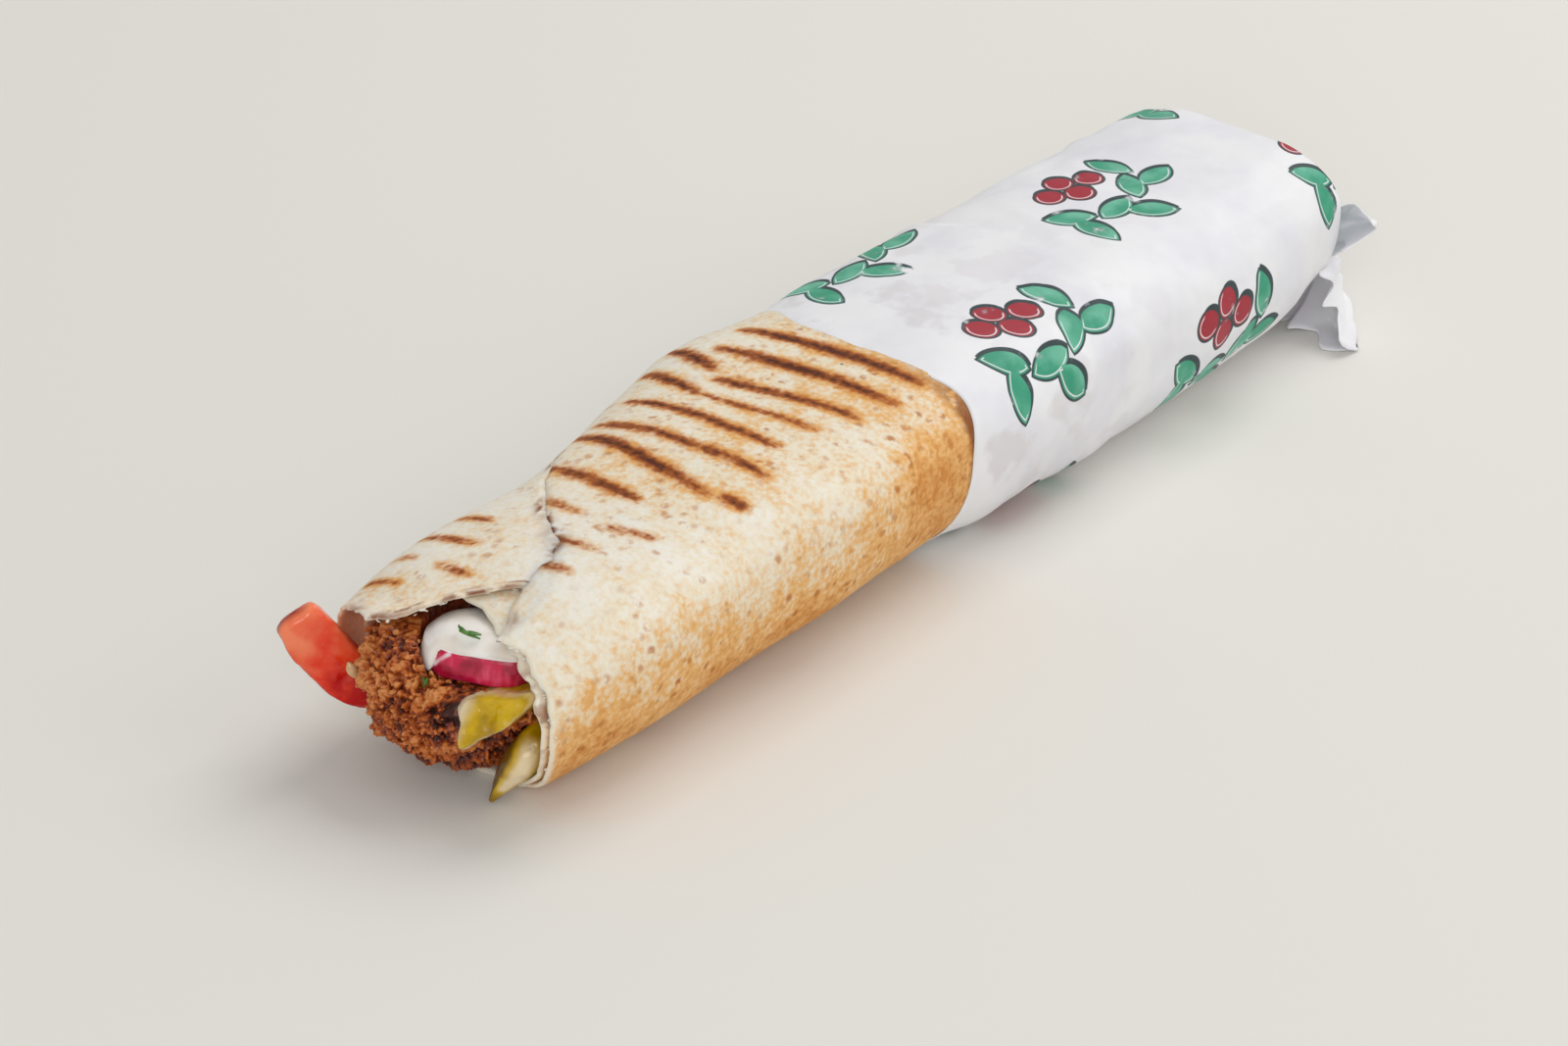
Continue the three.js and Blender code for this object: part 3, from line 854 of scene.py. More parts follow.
@dataclass(frozen=True)
class TomatoFlesh(Finish):
    """Ripe tomato, cut: wet, part see-through flesh, paler at the outer wall and deep red by the core."""

    name: str = "ripe_tomato"
    painted: Sequence[str] = ("along", "skin")
    pale: str = "#f68a60"
    red: str = "#ea3e1e"
    deep: str = "#c60408"
    thread: str = "#f08a66"
    skin: str = "#960c06"
    uneven: Blotches = Blotches(6, 0.3, 0.7)
    threaded: Blotches = Blotches(2.6, 0.55, 0.72, 4, (0.6, 1.0, 1.4))
    relief: Relief = Relief(2.5, 0.6, 0.3, 3.0)

    def shader(self, tree: bpy.types.NodeTree) -> bpy.types.Node:
        """Salmon to deep red along the strip, with pale threads and a wet gloss.

        Args:
            tree: the material's nodes.

        Returns:
            The shader.
        """
        along, skin = (add(tree, "Attribute", attribute_name=name).outputs["Fac"] for name in self.painted)
        tone = add(tree, "Math", {0: self.uneven.on(tree), 1: -0.2, 2: along}, operation="MULTIPLY_ADD")
        stops = [(0.0, self.deep), (0.46, self.deep), (0.62, self.red), (0.88, self.pale)]
        flesh = add(tree, "ValToRGB", {0: tone}, stops=stops)
        layers = [(self.threaded.on(tree), 0.22, self.thread), (skin, 1.0, self.skin)]
        return add(tree, "BsdfPrincipled", {
            "Base Color": coats(tree, flesh, layers),
            "Roughness": 0.16,
            "Specular IOR Level": 0.35,
            "Subsurface Weight": 0.35,
            "Subsurface Radius": (1.0, 0.28, 0.15),
            "Subsurface Scale": 0.003,
            "Normal": self.relief.on(tree),
        })


@dataclass(frozen=True)
class RadishFlesh(Finish):
    """Fresh radish, sliced: crisp white flesh under a thin crimson skin with fine pale streaks."""

    name: str = "sliced_radish"
    painted: Sequence[str] = ("skin", "scratch")
    flesh: str = "#f6f2f0"
    blush: str = "#efd6dc"
    skin: str = "#d01648"
    dark_skin: str = "#98082c"
    streak: str = "#e45478"
    streaked: Blotches = Blotches(1.4, 0.4, 0.75, 4, (1.0, 1.0, 0.25))
    darkened: Blotches = Blotches(5, 0.4, 0.66)
    blushed: Blotches = Blotches(5, 0.45, 0.8)

    def shader(self, tree: bpy.types.NodeTree) -> bpy.types.Node:
        """White flesh and a streaked crimson skin, told apart by the skin field.

        Args:
            tree: the material's nodes.

        Returns:
            The shader.
        """
        skin, scratch = (add(tree, "Attribute", attribute_name=name).outputs["Fac"] for name in self.painted)
        rind = coats(tree, self.skin, [
            (self.streaked.on(tree), 0.8, self.streak),
            (self.darkened.on(tree), 1.0, self.dark_skin),
            (scratch, 1.0, self.blush),
        ])
        edge = add(tree, "MapRange", {"Value": skin, "From Min": 0.4, "From Max": 0.6})
        layers = [(self.blushed.on(tree), 1.0, self.blush), (edge, 1.0, rind)]
        return add(tree, "BsdfPrincipled", {
            "Base Color": coats(tree, self.flesh, layers),
            "Roughness": 0.27,
            "Subsurface Weight": 0.2,
            "Subsurface Radius": (1.0, 0.8, 0.8),
            "Subsurface Scale": 0.001,
        })


@dataclass(frozen=True)
class PickledCucumber(Finish):
    """Pickled cucumber: wet, glassy yellow-green flesh with paler seed pockets, under an olive skin."""

    name: str = "pickled_cucumber"
    painted: Sequence[str] = ("pale", "skin")
    flesh: str = "#dcb600"
    deep: str = "#a07a00"
    pale: str = "#f0dfbe"
    skin: str = "#6b4a10"
    glassy: Blotches = Blotches(7, 0.3, 0.7)
    seeded: Blotches = Blotches(3.2, 0.58, 0.74, 4)
    relief: Relief = Relief(2.2, 0.6, 0.45, 3.0)

    def shader(self, tree: bpy.types.NodeTree) -> bpy.types.Node:
        """Yellow-green flesh, paler in places, darkening to its skin, with a wet gloss.

        Args:
            tree: the material's nodes.

        Returns:
            The shader.
        """
        pale, skin = (add(tree, "Attribute", attribute_name=name).outputs["Fac"] for name in self.painted)
        layers = [
            (self.glassy.on(tree), 1.0, self.deep),
            (self.seeded.on(tree), 0.3, self.pale),
            (pale, 0.9, self.pale),
            (skin, 1.0, self.skin),
        ]
        return add(tree, "BsdfPrincipled", {
            "Base Color": coats(tree, self.flesh, layers),
            "Roughness": 0.16,
            "Subsurface Weight": 0.4,
            "Subsurface Radius": (1.0, 0.9, 0.3),
            "Subsurface Scale": 0.0025,
            "Normal": self.relief.on(tree),
        })


@dataclass(frozen=True)
class PlainFood(Finish):
    """A soft, moist food of one colour with a paler or darker mottle, such as sauce, seed or herb."""

    name: str = "garlic_sauce"
    colour: str = "#f6f3ee"
    mottle: str = "#ece2d6"
    mottled: Blotches = Blotches(6, 0.35, 0.7)
    roughness: float = 0.24
    subsurface: float = 0.3

    def shader(self, tree: bpy.types.NodeTree) -> bpy.types.Node:
        """One colour with a soft mottle, and light that soaks in a little.

        Args:
            tree: the material's nodes.

        Returns:
            The shader.
        """
        return add(tree, "BsdfPrincipled", {
            "Base Color": coats(tree, self.colour, [(self.mottled.on(tree), 1.0, self.mottle)]),
            "Roughness": self.roughness,
            "Subsurface Weight": self.subsurface,
            "Subsurface Radius": (1.0, 0.9, 0.8),
            "Subsurface Scale": 0.0015,
        })


@dataclass(frozen=True)
class PaleFloor(Finish):
    """A plain pale painted surface, matt, so that it takes soft shadows."""

    name: str = "pale_floor"
    colour: str = "#e4e2dc"

    def shader(self, tree: bpy.types.NodeTree) -> bpy.types.Node:
        """One pale colour."""
        look = {"Base Color": self.colour, "Roughness": 0.75, "Specular IOR Level": 0.2}
        return add(tree, "BsdfPrincipled", look)


# ---- The roll ----


@dataclass
class Roll:
    """The wrap's plain section, from one end to the other."""

    # Each is given as pairs of a place along the roll and the value there.
    half_width: Knots = (
        (0, 30.8), (28, 33.2), (60, 31), (90, 35), (115, 37.2),
        (135, 35.6), (155, 34.4), (215, 33.4), (255, 33.2), (286, 30.6),
    )
    height: Knots = ((0, 39), (25, 42.5), (60, 44), (110, 45.4), (150, 45), (250, 45), (286, 43.6))
    middle: Knots = (
        (0, -5.2), (28, -6), (60, -7.6), (90, -5.4), (115, -2.6), (150, -4.2), (215, -6.4), (286, -5.9),
    )
    top_squareness: Knots = ((0, 2.3), (22, 2.8), (60, 3))
    bottom_squareness: float = 2.15
    waist_share: float = 0.6  # the widest level, as a share of the height
    flat_underside: float = 1.0
    heel_from: float = 250.0  # the far end's lower corner is tucked in
    heel_to: float = 286.0
    heel_turn: float = 222.0
    heel_spread: float = 34.0
    heel_depth: float = 4.0

    def point(self, x: np.ndarray, turn: np.ndarray, depth: Any, floor: Any) -> np.ndarray:
        """Points on the section.

        Args:
            x: places along the roll.
            turn: angles round it, in degrees.
            depth: how far inside the plain outside each point is.
            floor: the level that none goes under, at no depth.

        Returns:
            The points, with coordinates in the last axis.
        """
        half, height = profile(self.half_width, x), profile(self.height, x)
        waist = self.waist_share * height
        heel = bump(turn, self.heel_turn, self.heel_spread)
        inwards = depth + self.heel_depth * ramp(self.heel_from, self.heel_to, x) * heel
        c, s = np.cos(np.radians(turn)), np.sin(np.radians(turn))
        power = 2 / np.where(s > 0, profile(self.top_squareness, x), self.bottom_squareness)
        y = profile(self.middle, x) + (half - inwards) * signed_power(c, power)
        reach = np.where(s > 0, height - waist, waist + self.flat_underside) - inwards
        z = np.maximum(waist + reach * signed_power(s, power), floor + np.maximum(depth, 0))
        return np.stack(np.broadcast_arrays(x, y, z), -1)

    def within(self, points: np.ndarray, depth: np.ndarray) -> np.ndarray:
        """Points drawn in towards the roll's middle, where they are too near its outside.

        Args:
            points: the points.
            depth: how deep inside the plain outside each has to be at least.

        Returns:
            The points where they end up.
        """
        x, y, z = points.T
        half, height, middle = profile(self.half_width, x), profile(self.height, x), profile(self.middle, x)
        waist = self.waist_share * height
        above = z > waist
        power = np.where(above, profile(self.top_squareness, x), self.bottom_squareness)
        reach = np.where(above, height - waist, waist + self.flat_underside)
        wide, tall = (y - middle) / (half - depth), (z - waist) / (reach - depth)
        outside = (np.abs(wide) ** power + np.abs(tall) ** power) ** (1 / power)
        shrink = 1 / np.maximum(outside, 1)
        return np.stack([x, middle + (y - middle) * shrink, waist + (z - waist) * shrink], -1)


@dataclass(frozen=True)
class GrillBar:
    """One scorched bar: from one end to the other, seen from above, and how dark it is from 0 to 1."""

    start: tuple[float, float]
    end: tuple[float, float]
    heat: float


@dataclass
class Flatbread:
    """The rolled sheet of bread: each turn with its own front edge, and the flap's slanting outer edge."""

    roll: Roll = field(default_factory=Roll)
    thickness: float = 1.4
    gap: float = 0.3
    length: float = 276.0
    unrolled: float = 470.0  # about how wide the sheet is, unrolled
    per_degree: float = 0.55  # about how much of that is in one degree of a turn
    seen_to: float = 138.0  # from here on the paper hides it
    inner_edge_turn: float = 935.0
    flap_edge: Knots = ((0, 113), (16, 99), (40, 81), (56, 51), (100, -5))
    cut_edge: Knots = (  # how far back the cut edge stands at each turn
        (100, 1.5), (125, 2.2), (142, 1.2), (162, -0.8), (198, -0.8), (236, 4.5), (250, 6), (290, 6),
        (330, 1), (390, -1), (412, -4), (434, -5), (445, 5), (457, 17), (478, 4), (490, 1.2), (505, 0),
        (520, -2), (556, -2), (576, 0.5), (603, 4.5), (630, 6), (720, 7), (798, 13), (812, 10),
        (824, 6.5), (836, 4.5), (935, 4),
    )
    cut_edge_reach: float = 70.0  # how far along the roll the cut edge's shape fades out
    lump_height: float = 0.7
    lump_length: float = 61.0
    lumps_fade: tuple[float, float] = (138.0, 112.0)
    bar_width: tuple[float, float] = (4.4, 3.6)  # the flap's bars and the under turn's
    bars_above: float = 24.0  # the bars lie on top only
    floor_rise: float = 0.85  # how far the paper lifts it off the table
    flap_bars: Sequence[GrillBar] = (
        GrillBar((127, 20), (132.4, -25), 1.0), GrillBar((116.5, 18), (122, -26), 0.96),
        GrillBar((113.5, 30), (108, 13), 0.94), GrillBar((105, 9), (111.5, -24), 0.92),
        GrillBar((101.5, 27), (97, 8), 0.9), GrillBar((97, 8), (100.5, -22), 0.76),
        GrillBar((88, 20), (88.5, -20), 0.9), GrillBar((76, 19), (78.5, -26), 0.88),
        GrillBar((70.5, 22), (65, -21), 0.92), GrillBar((66.5, -24), (68, -29), 0.86),
        GrillBar((55.5, 15), (55, -10), 0.9), GrillBar((44.5, 6), (44, -5), 0.72),
        GrillBar((42.5, -11), (46, -23), 0.74), GrillBar((32, -1), (34.5, -17), 0.78),
        GrillBar((24, -10), (24.5, -18), 0.84),
    )
    under_bars: Sequence[GrillBar] = (
        GrillBar((33, 20), (33, 10.5), 0.8), GrillBar((23, 21), (23, 6.5), 0.88),
        GrillBar((14.5, 21), (14.5, 15.5), 0.74), GrillBar((5.5, 21), (5.5, 11), 0.74),
        GrillBar((13.5, 8), (13.5, -1), 0.78),
    )

    @property
    def pitch(self) -> float:
        """How far each turn lies inside the one before."""
        return self.thickness + self.gap

    def lumps(self, x: np.ndarray, turn: np.ndarray) -> np.ndarray:
        """How far the low lumps over the filling stand out.

        Args:
            x: places along the roll.
            turn: angles round it.

        Returns:
            The height at each.
        """
        up = np.maximum(0, np.sin(np.radians(turn)))
        wave = np.sin(2 * np.pi * x / self.lump_length + 1.4 * np.cos(np.radians(turn)))
        return self.lump_height * up * wave * ramp(*self.lumps_fade, x)

    def blisters(self, x: np.ndarray, turn: np.ndarray) -> np.ndarray:
        """How far the bread stands out: the low lumps, and soft blisters of the dough.

        Args:
            x: places along the roll.
            turn: angles round it.

        Returns:
            The height at each.
        """
        place = self.roll.point(x, turn, 0, 0)
        soft = 0.3 * noise(place, 15, 1) + 0.12 * noise(place, 5, 2)
        return self.lumps(x, turn) + soft * ramp(140, 125, x)

    def rise(self, x: np.ndarray) -> np.ndarray:
        """How far the bread lies above the table."""
        return self.floor_rise * ramp(98, 122, x)

    def plain(self, place: np.ndarray, turn: np.ndarray, inside: float) -> np.ndarray:
        """Points of the sheet without the torn edge's unevenness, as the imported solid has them.

        Args:
            place: how far each is from the front edge along the roll.
            turn: its angle round the roll.
            inside: how far through the sheet it is, from 0 outside to 1 inside.

        Returns:
            The points.
        """
        x = place + profile(self.cut_edge, turn) * np.maximum(0, 1 - place / self.cut_edge_reach) ** 2
        depth = self.pitch * (turn - 270) / 360 - self.lumps(x, turn)
        return self.roll.point(x, turn, depth + inside * self.thickness, self.rise(x))

    def grilled(self, points: np.ndarray, layer: np.ndarray) -> np.ndarray:
        """How close each point is to the nearest grill bar of its own layer.

        Args:
            points: the points of the sheet's outer face.
            layer: 0 on the flap, 1 on the turn under it, and so on.

        Returns:
            Near 1 in the middle of a bar, and 0 away from them.
        """
        heat = np.zeros(points.shape[:-1])
        for own, bars in enumerate((self.flap_bars, self.under_bars)):
            for bar in bars:
                start, end = np.array(bar.start), np.array(bar.end)
                along = end - start
                share = np.clip((points[..., :2] - start) @ along / (along @ along), 0, 1)
                away = np.linalg.norm(points[..., :2] - start - share[..., None] * along, axis=-1)
                fading = 1 - 0.18 * np.abs(2 * share - 1) ** 4
                warmth = np.clip(bar.heat * fading - away / self.bar_width[own], 0, 1)
                heat = np.where(layer == own, np.maximum(heat, warmth), heat)
        return np.where(points[..., 2] > self.bars_above, heat, 0)

    def grid(self) -> tuple[np.ndarray, np.ndarray]:
        """Where the points lie, close together where they show and wide apart under the paper.

        Returns:
            How far each is from the front edge along the roll, and from the flap's edge as a share.
        """
        front = np.arange(0, 12, 0.6)
        seen = np.arange(12, self.seen_to, 1.25)
        hidden = np.linspace(self.seen_to, self.length, 24)
        shares = np.concatenate([np.linspace(0, 0.5, 188)[:-1], np.linspace(0.5, 1, 92)])
        place, share = np.meshgrid(np.concatenate([front, seen, hidden]), shares, indexing="ij")
        return place, share

    def arc(self, turn: np.ndarray) -> np.ndarray:
        """Places on a straight line for the angles, about as far apart as they are round the roll."""
        return np.stack([0 * turn, turn * self.per_degree, 0 * turn], -1)

    def build(self) -> Shape:
        """Makes both faces of the sheet.

        Returns:
            The closed sheet, with fields for its colours.
        """
        place, share = self.grid()
        straight = np.stack([place, 0 * place, 0 * place], -1)
        wobble = 1.6 * noise(straight, 11, 4) + 1.0 * noise(straight, 3.2, 5)
        flap = profile(self.flap_edge, place) + wobble * ramp(100, 60, place)
        turn = mix(flap, self.inner_edge_turn, share)
        arc = self.arc(turn)
        tear = 0.9 * noise(arc, 7, 6) + 0.6 * noise(arc, 2.6, 7) + 0.35 * noise(arc, 1.1, 8)
        torn = tear * (0.5 + 1.1 * bump(turn, 75, 45))
        fading = np.maximum(0, 1 - place / self.cut_edge_reach) ** 2
        x = place + (profile(self.cut_edge, turn) + torn) * fading
        layer = np.floor((turn + 90) / 360)
        depth = self.pitch * (turn - 270) / 360 - self.blisters(x, turn)
        # The flap's edge lies down on the turn under it, and the inner turns swell where they are torn.
        from_flap = share * self.unrolled
        depth = depth + 0.4 * np.exp(-from_flap / 6) - 0.26 * (layer >= 1) * np.exp(-place / 7)
        # Beside the flap's edge the turn under it swells, so that the two are all but flush.
        beside = self.per_degree * (flap + 360 - turn)
        depth = depth - 1.1 * (layer == 1) * np.exp(-np.maximum(beside, 0) / 8) * ramp(-2.4, -0.6, beside)
        # Both edges that show are thinner than the sheet.
        front_edge, flap_edge = np.exp(-place / 0.8), np.exp(-from_flap / 1.1)
        worn = 0.3 * front_edge + 0.72 * flap_edge
        left = 1 - 0.3 * front_edge - 0.08 * flap_edge
        outer = self.roll.point(x, turn, depth + worn * self.thickness, self.rise(x))
        inner = self.roll.point(x, turn, depth + left * self.thickness, self.rise(x))
        made = shell(outer, inner, False)
        made.fields = self.colours(place, turn, outer, from_flap, beside)
        return made

    def colours(
        self, place: np.ndarray, turn: np.ndarray, outer: np.ndarray,
        from_flap: np.ndarray, beside: np.ndarray,
    ) -> dict[str, np.ndarray]:
        """What the bread's looks depend on.

        Args:
            place: how far each point is from the front edge along the roll.
            turn: its angle round the roll.
            outer: where it is on the outer face.
            from_flap: how far it is from the flap's edge.
            beside: how far it is from that edge where it lies under it, and below 0 where it is covered.

        Returns:
            For every named field a value at each point, those of the outer face first.
        """
        x = outer[..., 0]
        arc = self.arc(turn)
        layer = np.floor((turn + 90) / 360)
        flap, under = layer == 0, layer == 1
        grill = self.grilled(outer, layer)
        golden = 0.08 + 0.8 * bump(turn, 220, 52) + 0.42 * ramp(70, 132, x) * bump(turn, 165, 55)
        golden = golden + 0.16 * ramp(14, 4, x) * bump(turn, 80, 40) * under
        golden = golden + 0.2 * ramp(40, 66, x) * bump(turn, 95, 34) * flap
        golden = np.minimum(golden, 0.8) + 0.3 * ramp(0.0, 0.5, grill)
        crumb = np.exp(-((place / 0.9) ** 2))
        # A browned line wanders along the torn edge, and others lie where two layers meet; the one along the
        # under turn's rim is partly painted shade of the gap beneath it.
        patchy = np.clip(0.55 + 1.3 * noise(arc, 5, 12), 0, 1)
        wandering = (place - 1.9 - 0.9 * noise(arc, 4, 13)) / 0.7
        line = 1.2 * np.exp(-(wandering**2)) * under * bump(turn, 90, 34) * patchy
        at_rim = np.exp(-((place / 1.2) ** 2))
        tip = under * bump(turn, 90, 9) * at_rim
        along_flap = np.where(flap, from_flap - 1.2, np.where(under, beside, 9.0))
        flap_line = 1.1 * np.exp(-((along_flap / 0.9) ** 2)) * ramp(96, 60, place) * patchy
        # Partly painted shade: the dark gap under the under turn's front rim.
        toasted_rim = under * bump(turn, 64, 18) * at_rim
        between_rims = 0.8 * under * bump(turn, 160, 36) * ramp(6, 2, place) * patchy
        by_paper = 0.9 * ramp(132.6, 134, x) * flap * bump(turn, 160, 40)
        browned = np.maximum.reduce([line, tip, flap_line, between_rims, by_paper, toasted_rim])
        # Painted light: a warm glow on the inner turns' wall by the cut end.
        juice = bump(turn, 8, 26) * ramp(26, 2, x) * (layer >= 1)
        zero = np.zeros_like(turn)
        faces = {
            "grill": (grill, zero),
            "golden": (golden, 0.12 + zero),
            "crumb": (0.9 * crumb * (1 - toasted_rim), crumb),
            "browned": (browned, 0.5 * browned),
            "juice": (0.4 * juice * crumb, juice),
        }
        return {name: np.concatenate([a.ravel(), b.ravel()]) for name, (a, b) in faces.items()}


# ---- Paper sleeve ----


@dataclass
class PaperSleeve:
    """The paper round the far half, gathered behind the roll into a flared tail."""

    roll: Roll = field(default_factory=Roll)
    thickness: float = 0.3
    off_table: float = 0.5  # the least height of the tail
    starts: float = 133.5
    edge_wave: Knots = (
        (0, 3), (48, 2.5), (80, -1.2), (136, 4), (180, 0.5), (215, -1.5), (300, -1.5), (360, 3),
    )
    stand_off: float = 2.1
    crumple: float = 0.9
    sleeve_end: float = 284.0
    neck: tuple[float, float, float] = (290.0, -18.0, 15.0)
    neck_radius: float = 7.5
    neck_length: float = 4.5
    tail_radius: float = 15.0
    ear: tuple[float, float, float] = (14.0, 150.0, 16.0)  # how far it stands out, its turn and its spread
    skirt: tuple[float, float, float] = (17.0, 206.0, 20.0)
    tail_back: float = 6.0
    tail_lean: tuple[float, float, float] = (24.0, 205.0, 65.0)
    pleats: int = 12
    pleat_depth: float = 0.1
    crease_count: int = 26
    columns: int = 240
    tube_rows: int = 118
    gather_rows: int = 16
    tail_rows: int = 26

    def tube(self, x: np.ndarray, turn: np.ndarray) -> np.ndarray:
        """Points of the tube's outside, with its dents and creases.

        Args:
            x: places along the roll.
            turn: angles round it.

        Returns:
            The points.
        """
        angle = np.radians(turn)
        place = np.stack(np.broadcast_arrays(x / 26, 3 * np.cos(angle), 3 * np.sin(angle)), -1)
        lifted = self.crumple * np.maximum(0, noise(place, 1))
        plain = self.roll.point(x, turn, 0, 0)
        slanted = plain @ np.array([[0.8, 0.5, 0.33], [-0.6, 0.67, 0.43], [0.0, -0.54, 0.84]])
        dents = 1.5 * (cell_distance(slanted, 30, 21) - 0.5) + 0.5 * (cell_distance(slanted, 12, 22) - 0.5)
        dents = dents + self.creases(plain)
        behind_edge = x - self.starts - profile(self.edge_wave, turn)
        off = np.maximum(self.stand_off + lifted + dents * ramp(136, 150, x), 0.8)
        off = mix(0.7, off, ramp(0, 18, behind_edge))
        return self.roll.point(x, turn, -off, 0)

    def creases(self, points: np.ndarray) -> np.ndarray:
        """How far sharp folds lift the paper, each along a straight line a few centimetres long.

        Args:
            points: the points of the plain tube.

        Returns:
            The height at each, below 0 in a dent.
        """
        lift = np.zeros(points.shape[:-1])
        for i in range(self.crease_count):
            cells = [[i, 1.0, 2.0], [i, 2.0, 5.0], [i, 3.0, 7.0], [i, 4.0, 1.0], [i, 5.0, 3.0]]
            at = draw(np.array(cells), 2)
            centre = self.roll.point(np.array(148 + 132 * at[0]), np.array(20 + 190 * at[1]), 0, 0)
            lean = math.pi * (0.18 + 0.64 * at[2])
            across = np.array([math.sin(lean), -math.cos(lean), 0.4 * (at[3] - 0.5)])
            away = points - centre
            line = np.abs(away @ across / np.linalg.norm(across))
            reach = np.linalg.norm(away, axis=-1)
            height = (0.75 if i % 2 else -0.55) * (0.6 + 0.4 * at[4])
            lift = lift + height * np.exp(-line / 2.2) * ramp(10 + 22 * at[4], 4, reach)
        return lift

    def gather(self, share: np.ndarray, turn: np.ndarray) -> np.ndarray:
        """Points of the gathered end.

        Args:
            share: how far each is from the tube's end, at 0, to the neck, at 1.
            turn: its angle round the roll.

        Returns:
            The points.
        """
        rim = self.tube(np.full_like(turn, self.sleeve_end), turn)
        c, s = np.cos(np.radians(turn)), np.sin(np.radians(turn))
        pleat = 1 + self.pleat_depth * np.cos(self.pleats * np.radians(turn))
        y = self.neck[1] + self.neck_radius * pleat * c
        z = self.neck[2] + self.neck_radius * pleat * s
        x = mix(self.sleeve_end, self.neck[0], share**0.7)
        fold = 0.9 * np.sin(np.pi * share) * np.cos(self.pleats * np.radians(turn))
        return np.stack([x - fold, mix(rim[..., 1], y, share), mix(rim[..., 2], z, share)], -1)

    def tail(self, share: np.ndarray, turn: np.ndarray) -> np.ndarray:
        """Points of the tail.

        Args:
            share: how far each is from the neck, at 0, to the paper's end, at 1.
            turn: its angle round the neck.

        Returns:
            The points.
        """
        rim = self.tail_radius
        for reach, middle, spread in (self.ear, self.skirt):
            rim = rim + reach * bump(turn, middle, spread)
        pleat = 1 + self.pleat_depth * np.cos(self.pleats * np.radians(turn))
        r = mix(self.neck_radius, rim, share) * pleat
        lean = self.tail_lean[0] * bump(turn, *self.tail_lean[1:]) * share * share
        x = self.neck[0] + self.neck_length + self.tail_back * share - lean
        z = self.neck[2] + r * np.sin(np.radians(turn))
        y = self.neck[1] + r * np.cos(np.radians(turn))
        wrinkles = noise(np.stack([x, y, z], -1), 7, 14) + 0.5 * noise(np.stack([x, y, z], -1), 3, 15)
        folds = 2.6 * np.sin(2.2 * self.pleats * np.radians(turn) + 1.5 * wrinkles)
        return np.stack([x + share * (1.6 * wrinkles + folds), y, np.maximum(z, self.off_table)], -1)

    def build(self) -> Shape:
        """Makes the sheet.

        Returns:
            The closed sheet, with a field that tells where each point lies on the unrolled paper.
        """
        turns = np.linspace(0, 360, self.columns, endpoint=False)
        edge = self.starts + profile(self.edge_wave, turns)
        x = mix(edge, self.sleeve_end - 0.6, np.linspace(0, 1, self.tube_rows)[:, None])
        rows = [self.tube(x, np.broadcast_to(turns, x.shape))]
        for surface, count in ((self.gather, self.gather_rows), (self.tail, self.tail_rows)):
            share, turn = np.meshgrid(np.linspace(0, 1, count), turns, indexing="ij")
            rows.append(surface(share, turn))
        outer = np.concatenate(rows)
        normal = grid_normals(outer, True)
        middle = np.array([200.0, -5.0, 22.0])
        if np.mean(np.sum(normal[:80] * (outer[:80] - middle) * (0, 1, 1), -1)) < 0:
            normal = -normal
        inner = outer - normal * self.thickness
        inner[..., 2] = np.maximum(inner[..., 2], 0.0)
        made = shell(outer, inner, True)
        round_way = np.linalg.norm(np.diff(outer[60], axis=0), axis=-1)
        arc = np.concatenate([[0], np.cumsum(round_way)])
        steps = np.linalg.norm(np.diff(outer, axis=0), axis=-1).mean(1)
        run = np.concatenate([[0], np.cumsum(steps)])
        u, v = np.broadcast_arrays(run[:, None], arc[None, :])
        flat = np.stack([u, v, 0 * u], -1).reshape(-1, 3)
        made.fields = {"unrolled": np.concatenate([flat, flat])}
        return made


# ---- Filling ----


